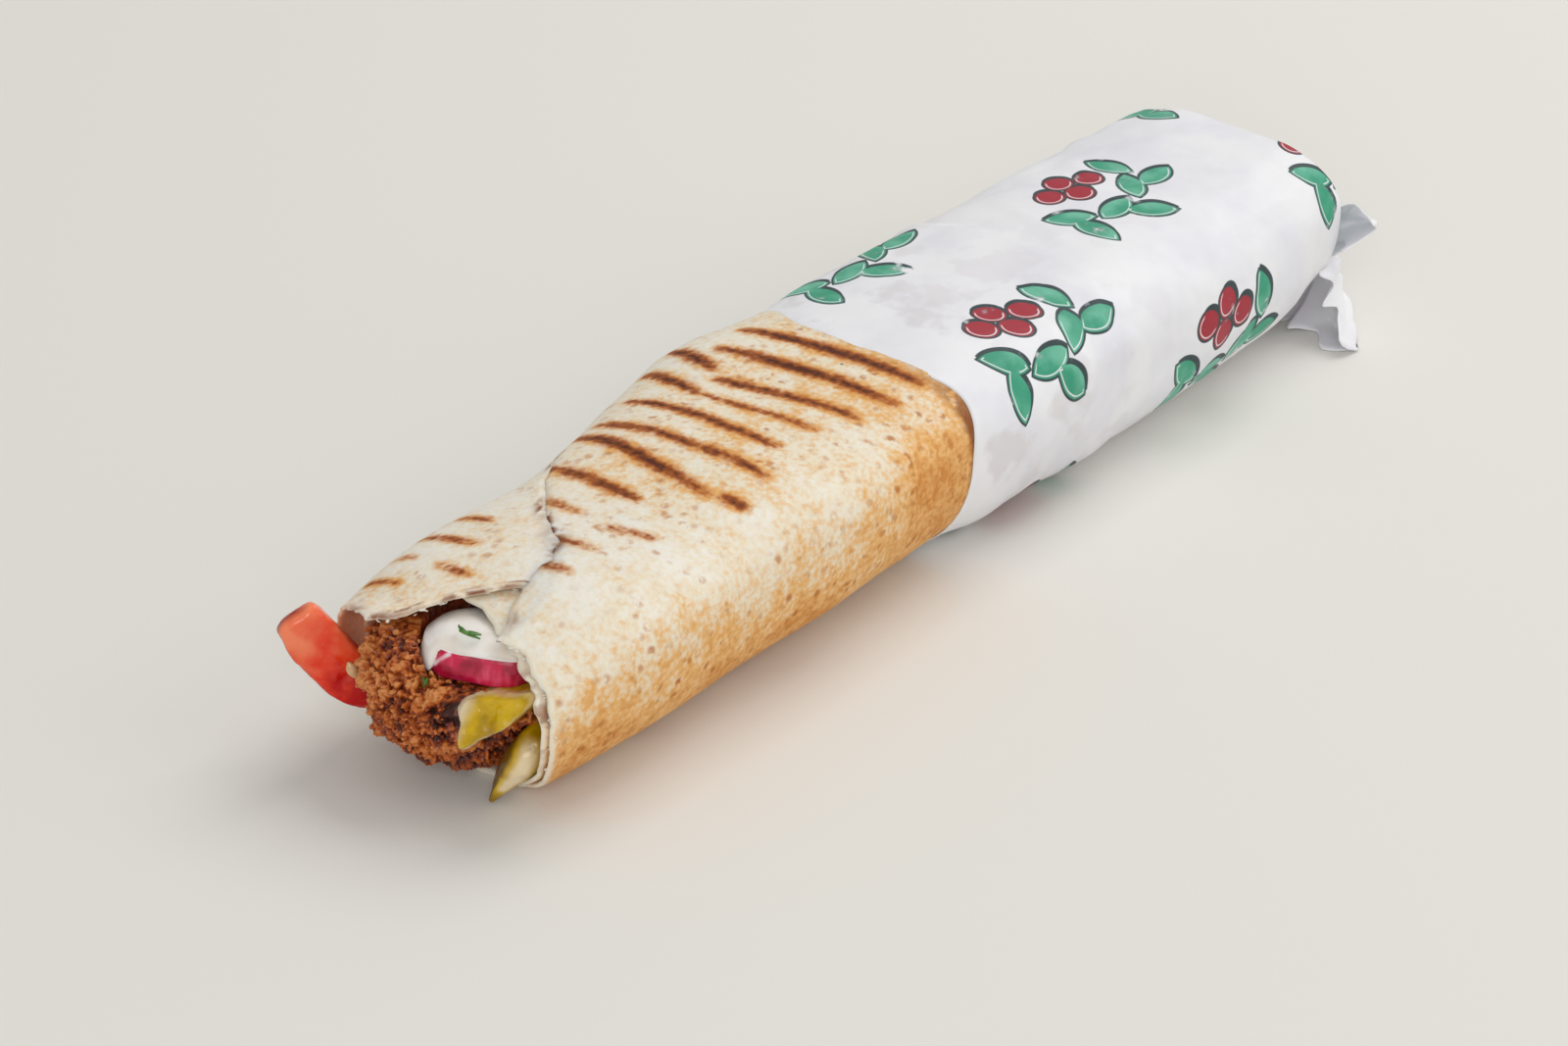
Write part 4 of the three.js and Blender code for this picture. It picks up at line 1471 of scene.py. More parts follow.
@dataclass
class RadishSlice:
    """A thick slice of radish lying on the falafel, with a dome of sauce on it."""

    radius: float = 13.4
    thickness: float = 6.4
    centre: tuple[float, float, float] = (8.0, -10.9, 29.5)
    lean: float = 9.0
    chord: float = 11.2  # how far its flattened side is from the centre
    chord_turn: float = 208.0
    dome: float = 3.4
    scratch: Sequence[tuple[float, float, float]] = ((-4.6, -7.5, 31.2), (-3.6, -10.8, 34.2))
    scratch_width: float = 0.34
    rows: int = 60

    def outline(self, turn: np.ndarray) -> np.ndarray:
        """The slice's reach at each turn, as a share of its radius."""
        towards = np.maximum(0, np.cos(np.radians(turn - self.chord_turn)))
        return (1 + (towards * self.radius / self.chord) ** 16) ** (-1 / 16)

    def placed(self, local: np.ndarray) -> np.ndarray:
        """Puts the slice's own points where it lies.

        Args:
            local: points measured from the slice's middle, flat on its faces.

        Returns:
            The points in the roll's frame.
        """
        c, s = math.cos(math.radians(self.lean)), math.sin(math.radians(self.lean))
        x, y, z = np.moveaxis(local, -1, 0)
        return np.stack([x * c + z * s, y, z * c - x * s], -1) + self.centre

    def local(self, points: np.ndarray) -> np.ndarray:
        """Turns points of the roll's frame into the slice's own.

        Args:
            points: points in the roll's frame.

        Returns:
            The points measured from the slice's middle, flat on its faces.
        """
        c, s = math.cos(math.radians(self.lean)), math.sin(math.radians(self.lean))
        x, y, z = np.moveaxis(points - np.array(self.centre), -1, 0)
        return np.stack([x * c - z * s, y, x * s + z * c], -1)

    def build(self) -> Shape:
        """Makes the slice.

        Returns:
            The solid, with fields that tell skin from flesh and show the scratch in the skin.
        """
        half, rim = self.thickness / 2, self.radius
        section = [  # its reach and level, from the underside's middle to the top's
            (0.1, -half), (rim * 0.5, -half), (rim - 1.8, -half), (rim - 0.9, -half * 0.9),
            (rim - 0.3, -half * 0.45), (rim, half * 0.2), (rim - 0.1, half * 0.72),
            (rim - 0.4, half * 0.95), (rim - 0.9, half), (rim * 0.6, half), (0.1, half),
        ]
        at = np.linspace(0, len(section) - 1, self.rows)
        radii = np.interp(at, range(len(section)), [p[0] for p in section])
        levels = np.interp(at, range(len(section)), [p[1] for p in section])
        turn = np.linspace(0, 360, 320, endpoint=False)
        reach = radii[:, None] * self.outline(turn)
        angle = np.radians(turn)
        level = np.broadcast_to(levels[:, None], reach.shape)
        made = loft(self.placed(np.stack([reach * np.cos(angle), reach * np.sin(angle), level], -1)))
        skin = np.broadcast_to(((at > 2.2) & (at < 7.2))[:, None], reach.shape).astype(float)
        start, end = np.array(self.scratch)
        share = np.clip((made.points - start) @ (end - start) / ((end - start) @ (end - start)), 0, 1)
        away = np.linalg.norm(made.points - start - share[:, None] * (end - start), axis=1)
        made.fields = {
            "skin": np.concatenate([skin.ravel(), [0.0, 0.0]]),
            "scratch": np.clip(1.8 - away / self.scratch_width, 0, 1),
        }
        return roughened(made, ((7, 0.25), (2.5, 0.06)), 31)

    def sauce(self) -> Shape:
        """Makes the dome of sauce, which runs over the slice's edge, furthest round its left end.

        Returns:
            The solid.
        """
        turn = np.linspace(0, 360, 180, endpoint=False)
        lip = ramp(100, 122, turn) * ramp(170, 160, turn)
        drop = 0.1 + 5.4 * lip
        rim = self.radius * self.outline(turn)
        half = self.thickness / 2
        rings = []
        for share in np.linspace(0.02, 1, 30):
            swell = self.dome * (1 - share**2.4) ** 0.8
            rings.append((share * (rim - 0.7), half + 0.25 + swell + 0 * turn))
        for share in np.linspace(0, 1, 12)[1:]:
            bulge = 0.45 + 0.35 * math.sin(math.pi * min(share + 0.1, 1.0))
            reach = rim - 0.7 + (bulge + 0.6 * share) * (0.25 + 0.75 * lip) + 0.4 * lip
            rings.append((reach, half + 0.25 - share * (drop + 0.25)))
        for share in (0.3, 0.7, 1.0):
            rings.append((rim - 0.6 - 1.4 * share, half - drop * (1 - share) - 0.2))
        rings.append((0.05 * rim, half - 0.3 + 0 * turn))
        angle = np.radians(turn)
        local = np.stack([np.stack([r * np.cos(angle), r * np.sin(angle), z], -1) for r, z in rings])
        return roughened(loft(self.placed(local)), ((9, 0.45), (3.5, 0.12)), 41)


@dataclass
class TomatoStrip:
    """A strip of tomato that stands out of the cut end."""

    path: Sequence[Sequence[float]] = (
        (26, 11, 14), (12, 12, 14), (2, 13.8, 14.8),
        (-4, 17.2, 18), (-7.8, 21.8, 25.6), (-11.2, 26.2, 33.4),
    )
    half_width: float = 5.4
    half_thickness: float = 2.8
    side: tuple[float, float, float] = (0.74, -0.46, 0.49)

    def build(self) -> Shape:
        """Makes the strip.

        Returns:
            The solid, with fields for how far along it is and where its skin shows.
        """
        share = np.linspace(0, 1, 110)
        ends = np.clip(np.abs(2 * share - 1) * 1.02 - 0.02, 0, 1) ** 8
        rounded = np.sqrt(1 - ends) * 0.35 + 0.65
        rounded = rounded * (0.04 + 0.96 * np.sqrt(1 - np.clip((share - 0.965) / 0.035, 0, 1) ** 2))
        sizes = np.stack([self.half_width * rounded, self.half_thickness * rounded], -1)
        count = 64
        rings = rings_along(curve_through(self.path, share), np.array(self.side), sizes, 3.4, count)
        made = loft(rings)
        along = np.broadcast_to(share[:, None], rings.shape[:2])
        turn = np.broadcast_to(360 * np.arange(count) / count, rings.shape[:2])
        skin = np.maximum(bump(turn, 180, 16), ramp(0.985, 1.0, along))
        tips = [0.0, 1.0]
        made.fields = {
            "along": np.concatenate([along.ravel(), tips]),
            "skin": np.concatenate([skin.ravel(), tips]),
        }
        return roughened(made, ((6, 0.5), (2.2, 0.22), (0.9, 0.08)), 51)

    def seed(self) -> Shape:
        """Makes the seed that lies in the strip's face.

        Returns:
            The solid.
        """
        share = np.linspace(0, 1, 20)
        sizes = np.stack([1.2 * np.sin(np.pi * np.clip(share, 0.03, 0.97)) ** 0.6] * 2, -1) * (1, 0.7)
        path = curve_through(((-4.9, 14.2, 19.4), (-5.6, 15.1, 21.2), (-6.0, 15.8, 23.2)), share)
        return loft(rings_along(path, np.array(self.side), sizes, 2.0, 16))


@dataclass
class PickleChunk:
    """A wedge of pickle under the radish, looking out of the cut with its broad face."""

    outline: Sequence[tuple[float, float]] = (
        (-17.1, 16.1), (-15.6, 20.6), (-13.8, 23.2), (-15.0, 26.2), (-19, 27.4), (-24, 28.2), (-28.6, 29.4),
        (-29.4, 27.6), (-25.8, 23.0), (-21.5, 18.9),
    )
    front: float = -4.4
    slant: float = 0.22
    tilt: float = 0.55  # how far its face leans back at the top
    length: float = 46.0

    def edge(self, count: int) -> np.ndarray:
        """The closed outline as evenly spaced points.

        Args:
            count: how many there are.

        Returns:
            Their y and z.
        """
        knots = np.asarray(self.outline, float)
        size = len(knots)
        t = np.linspace(0, size, 40 * size, endpoint=False)
        i, s = t.astype(int), (t % 1)[:, None]
        p0, p1, p2, p3 = (knots[(i + step) % size] for step in (-1, 0, 1, 2))
        a, b = 0.35 * (p2 - p0), 0.35 * (p3 - p1)
        fine = p1 + a * s + (3 * (p2 - p1) - 2 * a - b) * s**2 + (2 * (p1 - p2) + a + b) * s**3
        run = np.concatenate([[0], np.cumsum(np.linalg.norm(np.roll(fine, -1, 0) - fine, axis=1))])
        wanted = np.linspace(0, run[-1], count, endpoint=False)
        closed = np.vstack([fine, fine[:1]])
        return np.stack([np.interp(wanted, run, closed[:, axis]) for axis in range(2)], -1)

    def front_at(self, y: np.ndarray, z: np.ndarray) -> np.ndarray:
        """Where the front face lies at each y and z."""
        middle = self.edge(20).mean(0)
        return self.front + self.slant * (middle[0] - y) + self.tilt * (z - middle[1])

    def outside(self, points: np.ndarray) -> np.ndarray:
        """How far each point is outside the outline, seen along the roll.

        Args:
            points: points in the roll's frame.

        Returns:
            The distances, below 0 inside.
        """
        edge = self.edge(60)
        after = np.roll(edge, -1, 0)
        along = after - edge
        place = points[:, None, 1:] - edge
        share = np.clip((place * along).sum(-1) / (along**2).sum(-1), 0, 1)
        away = np.linalg.norm(place - share[..., None] * along, axis=-1).min(1)
        crosses = (edge[:, 1] > points[:, 2:3]) != (after[:, 1] > points[:, 2:3])
        rise = np.where(np.abs(along[:, 1]) < 1e-9, 1e-9, along[:, 1])
        meets = edge[:, 0] + (points[:, 2:3] - edge[:, 1]) * along[:, 0] / rise
        inside = (crosses & (points[:, 1:2] < meets)).sum(1) % 2 == 1
        return np.where(inside, -away, away)

    def build(self) -> Shape:
        """Makes the wedge, with a rounded front.

        Returns:
            The solid, with fields for its skin and for its pale rim and tip.
        """
        edge = self.edge(110)
        middle = edge.mean(0)
        depth = np.concatenate([np.linspace(0, 1, 34) ** 1.6 * 0.06, np.linspace(0.08, 1, 20)])
        rounding = 0.84 + 0.16 * np.sin(np.linspace(0, np.pi / 2, 18))
        size = np.concatenate([np.linspace(0.03, 0.84, 16), rounding, np.linspace(1, 0.7, 20)])
        place = np.concatenate([np.zeros(16), depth[16:34] - depth[16], depth[34:]])
        ring = middle + (edge - middle) * size[:, None, None]
        leaning = self.tilt * (ring[..., 1] - middle[1]) * (1 - place[:, None])
        x = self.front + place[:, None] * self.length + self.slant * (middle[0] - ring[..., 0]) + leaning
        x = x + (1.0 * np.clip(1 - size / 0.84, 0, 1) * (size < 0.84))[:, None]
        rim = np.broadcast_to((ramp(0.86, 0.99, size) * (place < 0.06))[:, None], x.shape)
        left_tip = ramp(-18.5, -15.0, ring[..., 0]) * ramp(0.2, 0.02, place[:, None])
        y, z = ring[..., 0], ring[..., 1]
        folds = np.stack([(y + z) * 1.2, 0.18 * (y - z), 0 * x], -1)
        x = x + 0.7 * noise(folds, 2.4, 75) * ramp(0.3, 0.02, place[:, None])
        low = edge[:, 1] < 15
        skin = np.broadcast_to((place[:, None] > 0.01) * low[None, :], x.shape)
        made = loft(np.concatenate([x[..., None], ring], -1))
        made.fields = {
            "pale": np.concatenate([np.clip(0.55 * rim + left_tip, 0, 1).ravel(), [0, 0]]),
            "skin": np.concatenate([0.8 * skin.ravel().astype(float), [0, 0]]),
        }
        return roughened(made, ((5, 0.5), (2.0, 0.28), (0.9, 0.1)), 71)


@dataclass
class PickleWedge:
    """A pointed wedge of pickle that reaches down to the table."""

    path: Sequence[Sequence[float]] = (
        (-1.5, -18.8, 1.2), (0, -20, 4), (0.8, -21.9, 7.6), (2.4, -24.8, 12),
        (7, -25.6, 14.2), (20, -26.4, 14.8), (50, -26.5, 15),
    )
    radii: Sequence[float] = (0.5, 1.5, 2.6, 3.6, 3.9, 4, 3.8)
    tall: float = 1.2

    def build(self) -> Shape:
        """Makes the wedge.

        Returns:
            The solid, with fields for its skin and the pale flesh down its middle.
        """
        share = np.linspace(0, 1, 120) ** 1.3
        knots = [(i / (len(self.radii) - 1), r) for i, r in enumerate(self.radii)]
        radius = profile(knots, share)
        sizes = np.stack([radius, radius * self.tall], -1)
        rings = rings_along(curve_through(self.path, share), np.array([0.3, 1.0, 0.0]), sizes, 2.1, 72)
        made = loft(rings)
        aside = (rings - rings.mean(1, keepdims=True)) @ np.array([0.63, -0.78, 0.0]) / radius[:, None]
        cut_face = ramp(0.05, 0.2, share)[:, None]
        where_pale = (ramp(0.14, 0.24, share) * ramp(0.62, 0.5, share))[:, None]
        pale = np.exp(-(((aside - 0.1) / 0.5) ** 4)) * where_pale
        skin = np.maximum(0.7 * (1 - cut_face), ramp(-0.55, -0.8, aside))
        made.fields = {
            "pale": np.concatenate([pale.ravel(), [0, 0]]),
            "skin": np.concatenate([skin.ravel(), [1, 1]]),
        }
        return roughened(made, ((5, 0.4), (1.8, 0.16)), 91)


@dataclass
class FalafelRow:
    """Falafel pressed together in a row, the front one bulging out of the cut with a craggy crust."""

    roll: Roll = field(default_factory=Roll)
    ends: float = 266.0
    pitch: float = 36.0
    pinch: float = 0.13
    crag: float = 1.5
    crag_size: float = 6.0
    ball_x: float = 9.0
    ball_y: float = -1.6
    ball_z: float = 19.3
    ball_reach: float = 21.0
    ball_half: float = 22.3
    ball_up: float = 17.0
    ball_down: float = 16.8
    ball_outline: Knots = (  # how far the front ball stands out at each angle, as a share
        (0, 0.7), (16, 0.72), (26, 0.85), (36, 1.05), (50, 1.07), (75, 1), (180, 1), (224, 0.88),
        (238, 0.95), (252, 1.08), (260, 0.98), (270, 0.8), (300, 0.78), (335, 0.73), (360, 0.7),
    )
    cap_rings: int = 134
    columns: int = 490
    warp: float = 0.9  # how far the crumbs' pattern is bent
    crumb_sizes: Sequence[tuple[float, float, int]] = (  # how wide, how high, and which draw
        (4.4, 1.1, 108), (2.3, 1.4, 101), (1.15, 1.25, 102),
    )
    crumb_reach: float = 0.72

    def rings(self) -> np.ndarray:
        """The plain rings, close together over the front ball and wide apart where the bread hides them.

        Returns:
            The points, by ring and place in the ring.
        """
        opening = np.radians(np.linspace(1.5, 90, self.cap_rings))
        cap = np.cos(opening) ** (2 / 2.3)
        front = np.sin(opening) ** (2 / 2.3)
        near = np.concatenate([np.arange(self.ball_x + 0.45, 15, 0.5), np.arange(15.5, 36, 1.4)])
        far = np.arange(37, self.ends + 0.1, 7.6)
        x = np.concatenate([self.ball_x - (self.ball_reach + 0.2) * cap, near, far])
        front = np.concatenate([front, np.ones(len(near) + len(far))])
        back = np.sqrt(1 - np.clip((x - self.ends + self.ball_reach) / (self.ball_reach + 0.4), 0, 1) ** 2)
        waist = 1 - self.pinch * (1 - np.cos(2 * np.pi * (x - self.ball_x) / self.pitch)) * 0.5
        size = front * back * waist
        inside = ramp(18, 50, x)
        across = mix(self.ball_half, profile(self.roll.half_width, x) - 7.2, inside) * size
        up = mix(self.ball_up, profile(self.roll.height, x) - self.ball_z - 7.2, inside) * size
        down = mix(self.ball_down, self.ball_z - 6, inside) * size
        middle = mix(self.ball_y, profile(self.roll.middle, x), inside)
        turn = 2 * np.pi * np.arange(self.columns) / self.columns
        c, s = np.cos(turn), np.sin(turn)
        shaped = mix(profile(self.ball_outline, np.degrees(turn)), 1, inside[:, None])
        place = np.stack(np.broadcast_arrays(x[:, None], across[:, None] * c, up[:, None] * s), -1)
        relief = self.crag * np.sqrt(size)[:, None] * noise(place, self.crag_size)
        y = middle[:, None] + (across[:, None] * shaped + relief) * c
        z = self.ball_z + (np.where(s > 0, up[:, None], down[:, None]) * shaped + relief) * s
        return np.stack([np.broadcast_to(x[:, None], y.shape), y, z], -1)

    def crust(self, points: np.ndarray) -> np.ndarray:
        """How far the crust stands out: crumbs, clumps and pits.

        Args:
            points: the points of the plain row.

        Returns:
            The height at each, below 0 in the pits.
        """
        warped = points + self.warp * np.stack([noise(points, 2.2, seed) for seed in (104, 105, 106)], -1)
        total = 0.9 * noise(points, 5.0, 103) + 0.55 * noise(points, 0.8, 107) - 2.1
        for size, height, seed in self.crumb_sizes:
            dome = np.maximum(0, 1 - (cell_distance(warped, size, seed) / self.crumb_reach) ** 2)
            total = total + height * dome**0.6
        return total

    def build(self, radish: RadishSlice, pickle: PickleChunk) -> Shape:
        """Makes the row and makes room in it for the radish and the pickle.

        Args:
            radish: the slice that lies on the front ball.
            pickle: the wedge that stands against its side.

        Returns:
            The row, with fields for its height between pits and knobs and for the painted shade of its low
            side.
        """
        rings = self.rings()
        normal = grid_normals(rings, True)
        outwards = rings - rings.mean(1, keepdims=True) + np.array([-0.1, 0, 0])
        if np.mean(np.sum(normal * outwards, -1)) < 0:
            normal = -normal
        height = self.crust(rings)
        fine = ramp(50, 34, rings[..., 0])
        rings = rings + normal * (height * fine)[..., None]
        made = loft(rings)
        points = made.points
        x = points[:, 0]
        above, below = mix(-14.0, 5.4, ramp(-7.5, -4, x)), mix(-14.0, 4.6, ramp(0, 5, x))
        points = self.roll.within(points, np.where(points[:, 2] > 22, above, below))
        points[:, 2] = np.maximum(points[:, 2], 0.5 + 2.6 * ramp(1, 6, x))
        points = self.under_radish(points, radish)
        made.points = self.behind_pickle(points, pickle)
        tips = [height[0].mean(), height[-1].mean()]
        raised = np.clip(0.5 + 0.42 * np.concatenate([height.ravel(), tips]), 0, 1)
        # Painted shade: the crust deep under the bread's flap is coloured near its darkest.
        under_flap = ramp(1, 6, made.points[:, 0]) * ramp(24, 29, made.points[:, 2])
        made.fields = {"height": raised * (1 - 0.8 * under_flap), "shaded": self.shaded(made.points)}
        return made

    def shaded(self, points: np.ndarray) -> np.ndarray:
        """How far each point is on the low side, away from the light, which is painted darker as shade: 1
        where most.
        """
        return ramp(21, 8, points[:, 2]) * ramp(6, -9, points[:, 1])

    def under_radish(self, points: np.ndarray, radish: RadishSlice) -> np.ndarray:
        """Presses down what would come up through the radish.

        Args:
            points: the row's points.
            radish: the slice that lies on it.

        Returns:
            The points where they end up.
        """
        local = radish.local(points)
        turn = np.degrees(np.arctan2(local[:, 1], local[:, 0]))
        reach = radish.outline(turn) * radish.radius
        lies_under = ramp(1.6, 0.2, np.hypot(local[:, 0], local[:, 1]) - reach)
        seat = -radish.thickness / 2 - 0.3
        local[:, 2] = mix(local[:, 2], np.minimum(local[:, 2], seat), lies_under)
        return radish.placed(local)

    def behind_pickle(self, points: np.ndarray, pickle: PickleChunk) -> np.ndarray:
        """Presses back what would come out in front of the pickle's face.

        Args:
            points: the row's points.
            pickle: the wedge that stands against it.

        Returns:
            The points where they end up.
        """
        behind = ramp(1.4, 0.2, pickle.outside(points))
        wanted = np.maximum(points[:, 0], pickle.front_at(points[:, 1], points[:, 2]) + 1.2)
        near = ramp(12, 8, points[:, 0])
        moved = points.copy()
        moved[:, 0] = mix(points[:, 0], wanted, behind * near)
        return moved

    def crumbs(self, body: Shape, pickle: PickleChunk, count: int) -> Shape:
        """Makes loose crumbs that stick to the front ball's crust, clear of the pickle.

        Args:
            body: the row.
            pickle: the wedge that stands against it.
            count: how many there are.

        Returns:
            The crumbs as one shape, with the row's fields.
        """
        x, _, z = body.points.T
        shown = np.flatnonzero((x < 14) & (z > 3) & (pickle.outside(body.points) > 0.9))
        made, heights = [], []
        for i in range(count):
            at = draw(np.array([[i, 2.0, 7.0], [i, 6.0, 1.0], [i, 9.0, 3.0]]), 5)
            size = 0.3 + 0.6 * at[1] ** 2.5
            centre = body.points[shown[int(at[0] * len(shown))]]
            lump = pebble(centre, size * np.array([1.0, 0.85, 0.7]), 200 + i)
            made.append(lump)
            heights.append(np.full(len(lump.points), 0.5 + 0.5 * at[2]))
        pieces = joined(made)
        pieces.fields = {"height": np.concatenate(heights), "shaded": self.shaded(pieces.points)}
        return pieces


# ---- Garnish ----


@dataclass(frozen=True)
class Leaf:
    """A narrow leaf: its path from root to tip, its half width, and which draw makes it uneven."""

    path: Sequence[Sequence[float]]
    width: float
    seed: int

    def build(self) -> Shape:
        """Makes the leaf, widest in its middle and pointed at its tip.

        Returns:
            The solid.
        """
        share = np.linspace(0, 1, 26)
        wide = self.width * np.sin(np.pi * np.clip(share, 0.03, 0.985)) ** 0.8 + 0.12
        sizes = np.stack([wide, 0.16 + 0.1 * wide], -1)
        rings = rings_along(curve_through(self.path, share), np.array([0.5, 0.8, 0.1]), sizes, 2.0, 12)
        return roughened(loft(rings), ((2.0, 0.12),), self.seed)


@dataclass
class Garnish:
    """The herb that shows on the filling: a sprig with a side leaf on the sauce, and a bit on the crust."""

    on_sauce: Leaf = Leaf(
        ((1.9, -8.6, 37.6), (0.6, -10.2, 37.9), (0.4, -12.4, 37.7), (1.4, -14.8, 37.0)), 0.55, 111
    )
    side_leaf: Leaf = Leaf(((0.5, -11.6, 37.8), (0.9, -12.8, 37.9), (2.4, -14.2, 37.3)), 0.7, 112)
    on_crust: Leaf = Leaf(((-7.2, -6.6, 29.2), (-7.8, -7.6, 28.8), (-7.6, -8.6, 28.2)), 0.5, 113)
    across_it: Leaf = Leaf(((-7.2, -8.0, 29.4), (-8.0, -8.0, 28.6), (-8.4, -7.8, 27.6)), 0.4, 114)

    def build(self) -> Shape:
        """Makes all the leaves as one shape."""
        leaves = (self.on_sauce, self.side_leaf, self.on_crust, self.across_it)
        return joined([leaf.build() for leaf in leaves])


@dataclass
class TornCrumb:
    """The fluffy shreds of crumb along the torn edge of the bread."""

    bread: Flatbread
    count: int = 76
    torn_turns: tuple[float, float] = (392.0, 458.0)  # where two in three lie, on the turn under the flap
    side_turns: tuple[float, float] = (118.0, 215.0)  # where the others lie

    def build(self) -> Shape:
        """Makes small pale shreds along the edges that show.

        Returns:
            The shreds as one shape, with the bread's fields.
        """
        made = []
        for i in range(self.count):
            at = draw(np.array([[i, 4.0, 2.0], [i, 7.0, 5.0], [i, 1.0, 8.0], [i, 3.0, 6.0]]), 9)
            turn = np.array([mix(*(self.torn_turns if i % 3 else self.side_turns), at[0])])
            place = np.array([0.25 + 0.5 * at[1]])
            spot = self.bread.plain(place, turn, 0.25 + 0.6 * at[2])[0]
            size = 0.18 + 0.26 * at[3] ** 2
            made.append(pebble(spot, size * np.array([2.4, 0.9, 0.6]), 400 + i))
        crumb = joined(made)
        fields = {"crumb": 1.0, "grill": 0.0, "golden": 0.05, "browned": 0.0, "juice": 0.0}
        crumb.fields = {name: np.full(len(crumb.points), value) for name, value in fields.items()}
        return crumb


# ---- Putting it together ----


class Slot(Enum):
    """The record's material slots."""

    BREAD = "flatbread"
    PAPER = "wrapping_paper"
    FALAFEL = "falafel_crust"
    TOMATO = "tomato_flesh"
    RADISH = "radish_flesh"
    PICKLE = "pickle_flesh"


@dataclass
class Assembly:
    """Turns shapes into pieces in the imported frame."""

    shift: np.ndarray
    body: str = "root"
    materials: dict[str, bpy.types.Material] = field(default_factory=dict)

    def lay(
        self, name: str, shape: Shape, finish: Finish,
        replaces: Sequence[str] = (), smooth: bool = True,
    ) -> bpy.types.Object:
        """Makes a piece from a shape and ties it to the frame.

        Args:
            name: the piece's name.
            shape: its points, faces and fields, in the roll's frame.
            finish: what it is made of.
            replaces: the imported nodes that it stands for.
            smooth: whether light runs smoothly over its edges.

        Returns:
            The new object.
        """
        mesh = bpy.data.meshes.new(name)
        mesh.from_pydata(((shape.points + self.shift) * METRES).tolist(), [], shape.faces)
        solid = bmesh.new()
        solid.from_mesh(mesh)
        if solid.calc_volume(signed=True) < 0:
            bmesh.ops.reverse_faces(solid, faces=solid.faces)
        for face in solid.faces:
            face.smooth = smooth
        solid.to_mesh(mesh)
        solid.free()
        for field_name, values in shape.fields.items():
            vector = values.ndim == 2
            layer = mesh.attributes.new(field_name, "FLOAT_VECTOR" if vector else "FLOAT", "POINT")
            layer.data.foreach_set("vector" if vector else "value", values.astype(np.float32).ravel())
        piece = bpy.data.objects.new(name, mesh)
        bpy.context.scene.collection.objects.link(piece)
        if finish.name not in self.materials:
            self.materials[finish.name] = finish.build()
        mesh.materials.append(self.materials[finish.name])
        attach(piece, self.body)
        if replaces:
            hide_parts(*replaces)
        log.info("%s: %d points", name, len(shape.points))
        return piece


def frame_shift(bread: Flatbread) -> np.ndarray:
    """How far points of the roll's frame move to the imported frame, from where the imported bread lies.

    Args:
        bread: the bread as it is modelled here.

    Returns:
        The move, in millimetres.
    """
    low, high = (np.array(corner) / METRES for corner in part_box("flatbread"))
    place, turn = np.meshgrid(np.linspace(0, bread.length, 93), np.linspace(100, 830, 731), indexing="ij")
    y = bread.plain(place, turn, 0.0)[..., 1]
    return np.array([high[0] - bread.length, (low[1] + high[1] - y.min() - y.max()) / 2, 0.0])


@dataclass(frozen=True)
class Lamp:
    """A soft square light: which way it hangs from the object, how far, its side in metres and its watts."""

    name: str
    towards: tuple[float, float, float]
    far: float
    side: float
    power: float

    def hang(self) -> None:
        """Puts the light in the scene, aimed at the object."""
        data = bpy.data.lights.new(self.name, "AREA")
        data.shape = "SQUARE"
        data.size = self.side
        data.energy = self.power
        lamp = bpy.data.objects.new(self.name, data)
        direction = Vector(self.towards).normalized()
        lamp.location = direction * self.far
        lamp.rotation_mode = "QUATERNION"
        lamp.rotation_quaternion = direction.to_track_quat("Z", "Y")
        bpy.context.scene.collection.objects.link(lamp)


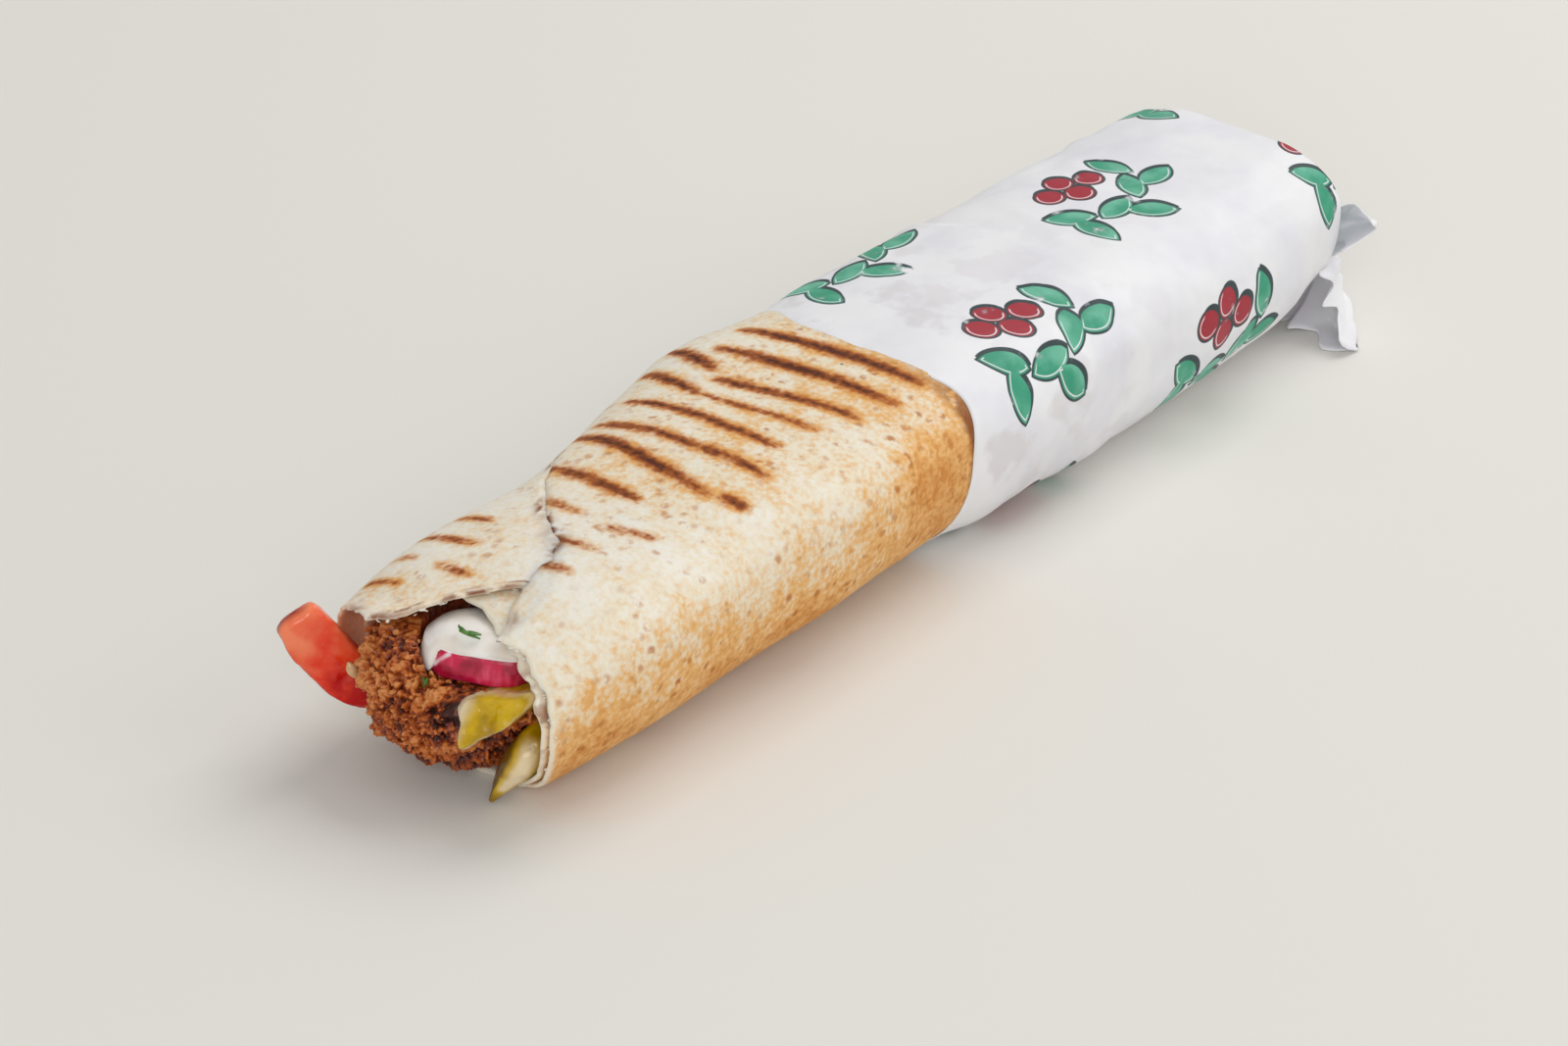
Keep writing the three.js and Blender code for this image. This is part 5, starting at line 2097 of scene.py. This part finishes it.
@dataclass
class Studio:
    """The camera, the floor and the light."""

    look_at: tuple[float, float, float] = (125.9, 7.4, 0.0)  # in the roll's frame
    azimuth: float = -51.0
    elevation: float = 30.0
    distance: float = 996.2
    lens: float = 100.66
    sensor: float = 36.0
    floor_side: float = 8.0
    room: str = "#fbfaf8"
    room_strength: float = 0.49
    lamps: Sequence[Lamp] = (
        Lamp("key", (0.76, -0.1, 1.0), 2.2, 1.4, 21),  # above, towards the tail
        Lamp("side", (0.45, -0.9, 0.5), 2.6, 1.6, 9),  # from the side that the camera sees
        Lamp("front", (-0.8, -0.58, 0.56), 2.6, 1.2, 18),  # on the cut end
    )

    def camera(self, shift: np.ndarray) -> None:
        """Sets the camera at the photograph's angle.

        Args:
            shift: how far points of the roll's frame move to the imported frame.
        """
        data = bpy.data.cameras.new("camera")
        data.lens = self.lens
        data.sensor_width = self.sensor
        data.clip_end = 50
        camera = bpy.data.objects.new("camera", data)
        a, e = math.radians(self.azimuth), math.radians(self.elevation)
        back = Vector((math.sin(a) * math.cos(e), -math.cos(a) * math.cos(e), math.sin(e)))
        target = Vector((np.array(self.look_at) + shift) * METRES)
        camera.location = target + back * self.distance * METRES
        camera.rotation_mode = "QUATERNION"
        camera.rotation_quaternion = (-back).to_track_quat("-Z", "Y")
        bpy.context.scene.collection.objects.link(camera)
        bpy.context.scene.camera = camera

    def floor(self) -> None:
        """Lays the plain pale floor."""
        half = self.floor_side / 2
        mesh = bpy.data.meshes.new("floor")
        corners = [(-half, -half, 0), (half, -half, 0), (half, half, 0), (-half, half, 0)]
        mesh.from_pydata(corners, [], [(0, 1, 2, 3)])
        mesh.materials.append(PaleFloor().build())
        floor = bpy.data.objects.new("floor", mesh)
        bpy.context.scene.collection.objects.link(floor)

    def light(self) -> None:
        """Lights the scene with three large soft lamps and an even fill from all round."""
        world = bpy.data.worlds.new("soft_room")
        world.use_nodes = True
        background = world.node_tree.nodes["Background"]
        background.inputs[0].default_value = linear(self.room)
        background.inputs[1].default_value = self.room_strength
        bpy.context.scene.world = world
        for lamp in self.lamps:
            lamp.hang()
        bpy.context.scene.view_settings.view_transform = "Standard"
        bpy.context.scene.cycles.use_denoising = True


def main() -> None:
    """Loads the frame, makes every piece on it, and sets the camera and the light."""
    logging.basicConfig(level=logging.INFO)
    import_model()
    bread, paper, falafel = Flatbread(), PaperSleeve(), FalafelRow()
    radish, tomato, chunk, wedge = RadishSlice(), TomatoStrip(), PickleChunk(), PickleWedge()
    shift = frame_shift(bread)
    log.info("the packed frame is %s mm away", shift.round(2))
    studio = Studio()
    studio.camera(shift)
    studio.floor()
    studio.light()
    wrap = Assembly(shift)
    seed = PlainFood("tomato_seed", "#dcb98a", "#c9965c", Blotches(2, 0.35, 0.7), 0.2, 0.3)
    herb = PlainFood("herb_leaf", "#4f7f2c", "#2f5a1c", Blotches(1.5, 0.35, 0.7), 0.45, 0.1)
    wrap.lay("bread_sheet", bread.build(), BakedBread(), ["flatbread"])
    wrap.lay("bread_crumb", TornCrumb(bread).build(), BakedBread())
    wrap.lay("paper", paper.build(), GreaseproofPaper(), ["paper_sleeve"])
    row = falafel.build(radish, chunk)
    wrap.lay("falafel_row", row, FriedCrust(), ["falafel"])
    wrap.lay("falafel_crumbs", falafel.crumbs(row, chunk, 700), FriedCrust(), smooth=False)
    wrap.lay("tomato", tomato.build(), TomatoFlesh(), ["tomato_strip"])
    wrap.lay("tomato_seed", tomato.seed(), seed)
    wrap.lay("radish", radish.build(), RadishFlesh(), ["radish_slice"])
    wrap.lay("garlic_sauce", radish.sauce(), PlainFood())
    wrap.lay("pickle_broad", chunk.build(), PickledCucumber(), ["pickle_chunk"])
    wrap.lay("pickle_pointed", wedge.build(), PickledCucumber(), ["pickle_wedge"])
    wrap.lay("herbs", Garnish().build(), herb)


if __name__ == "__main__":
    main()
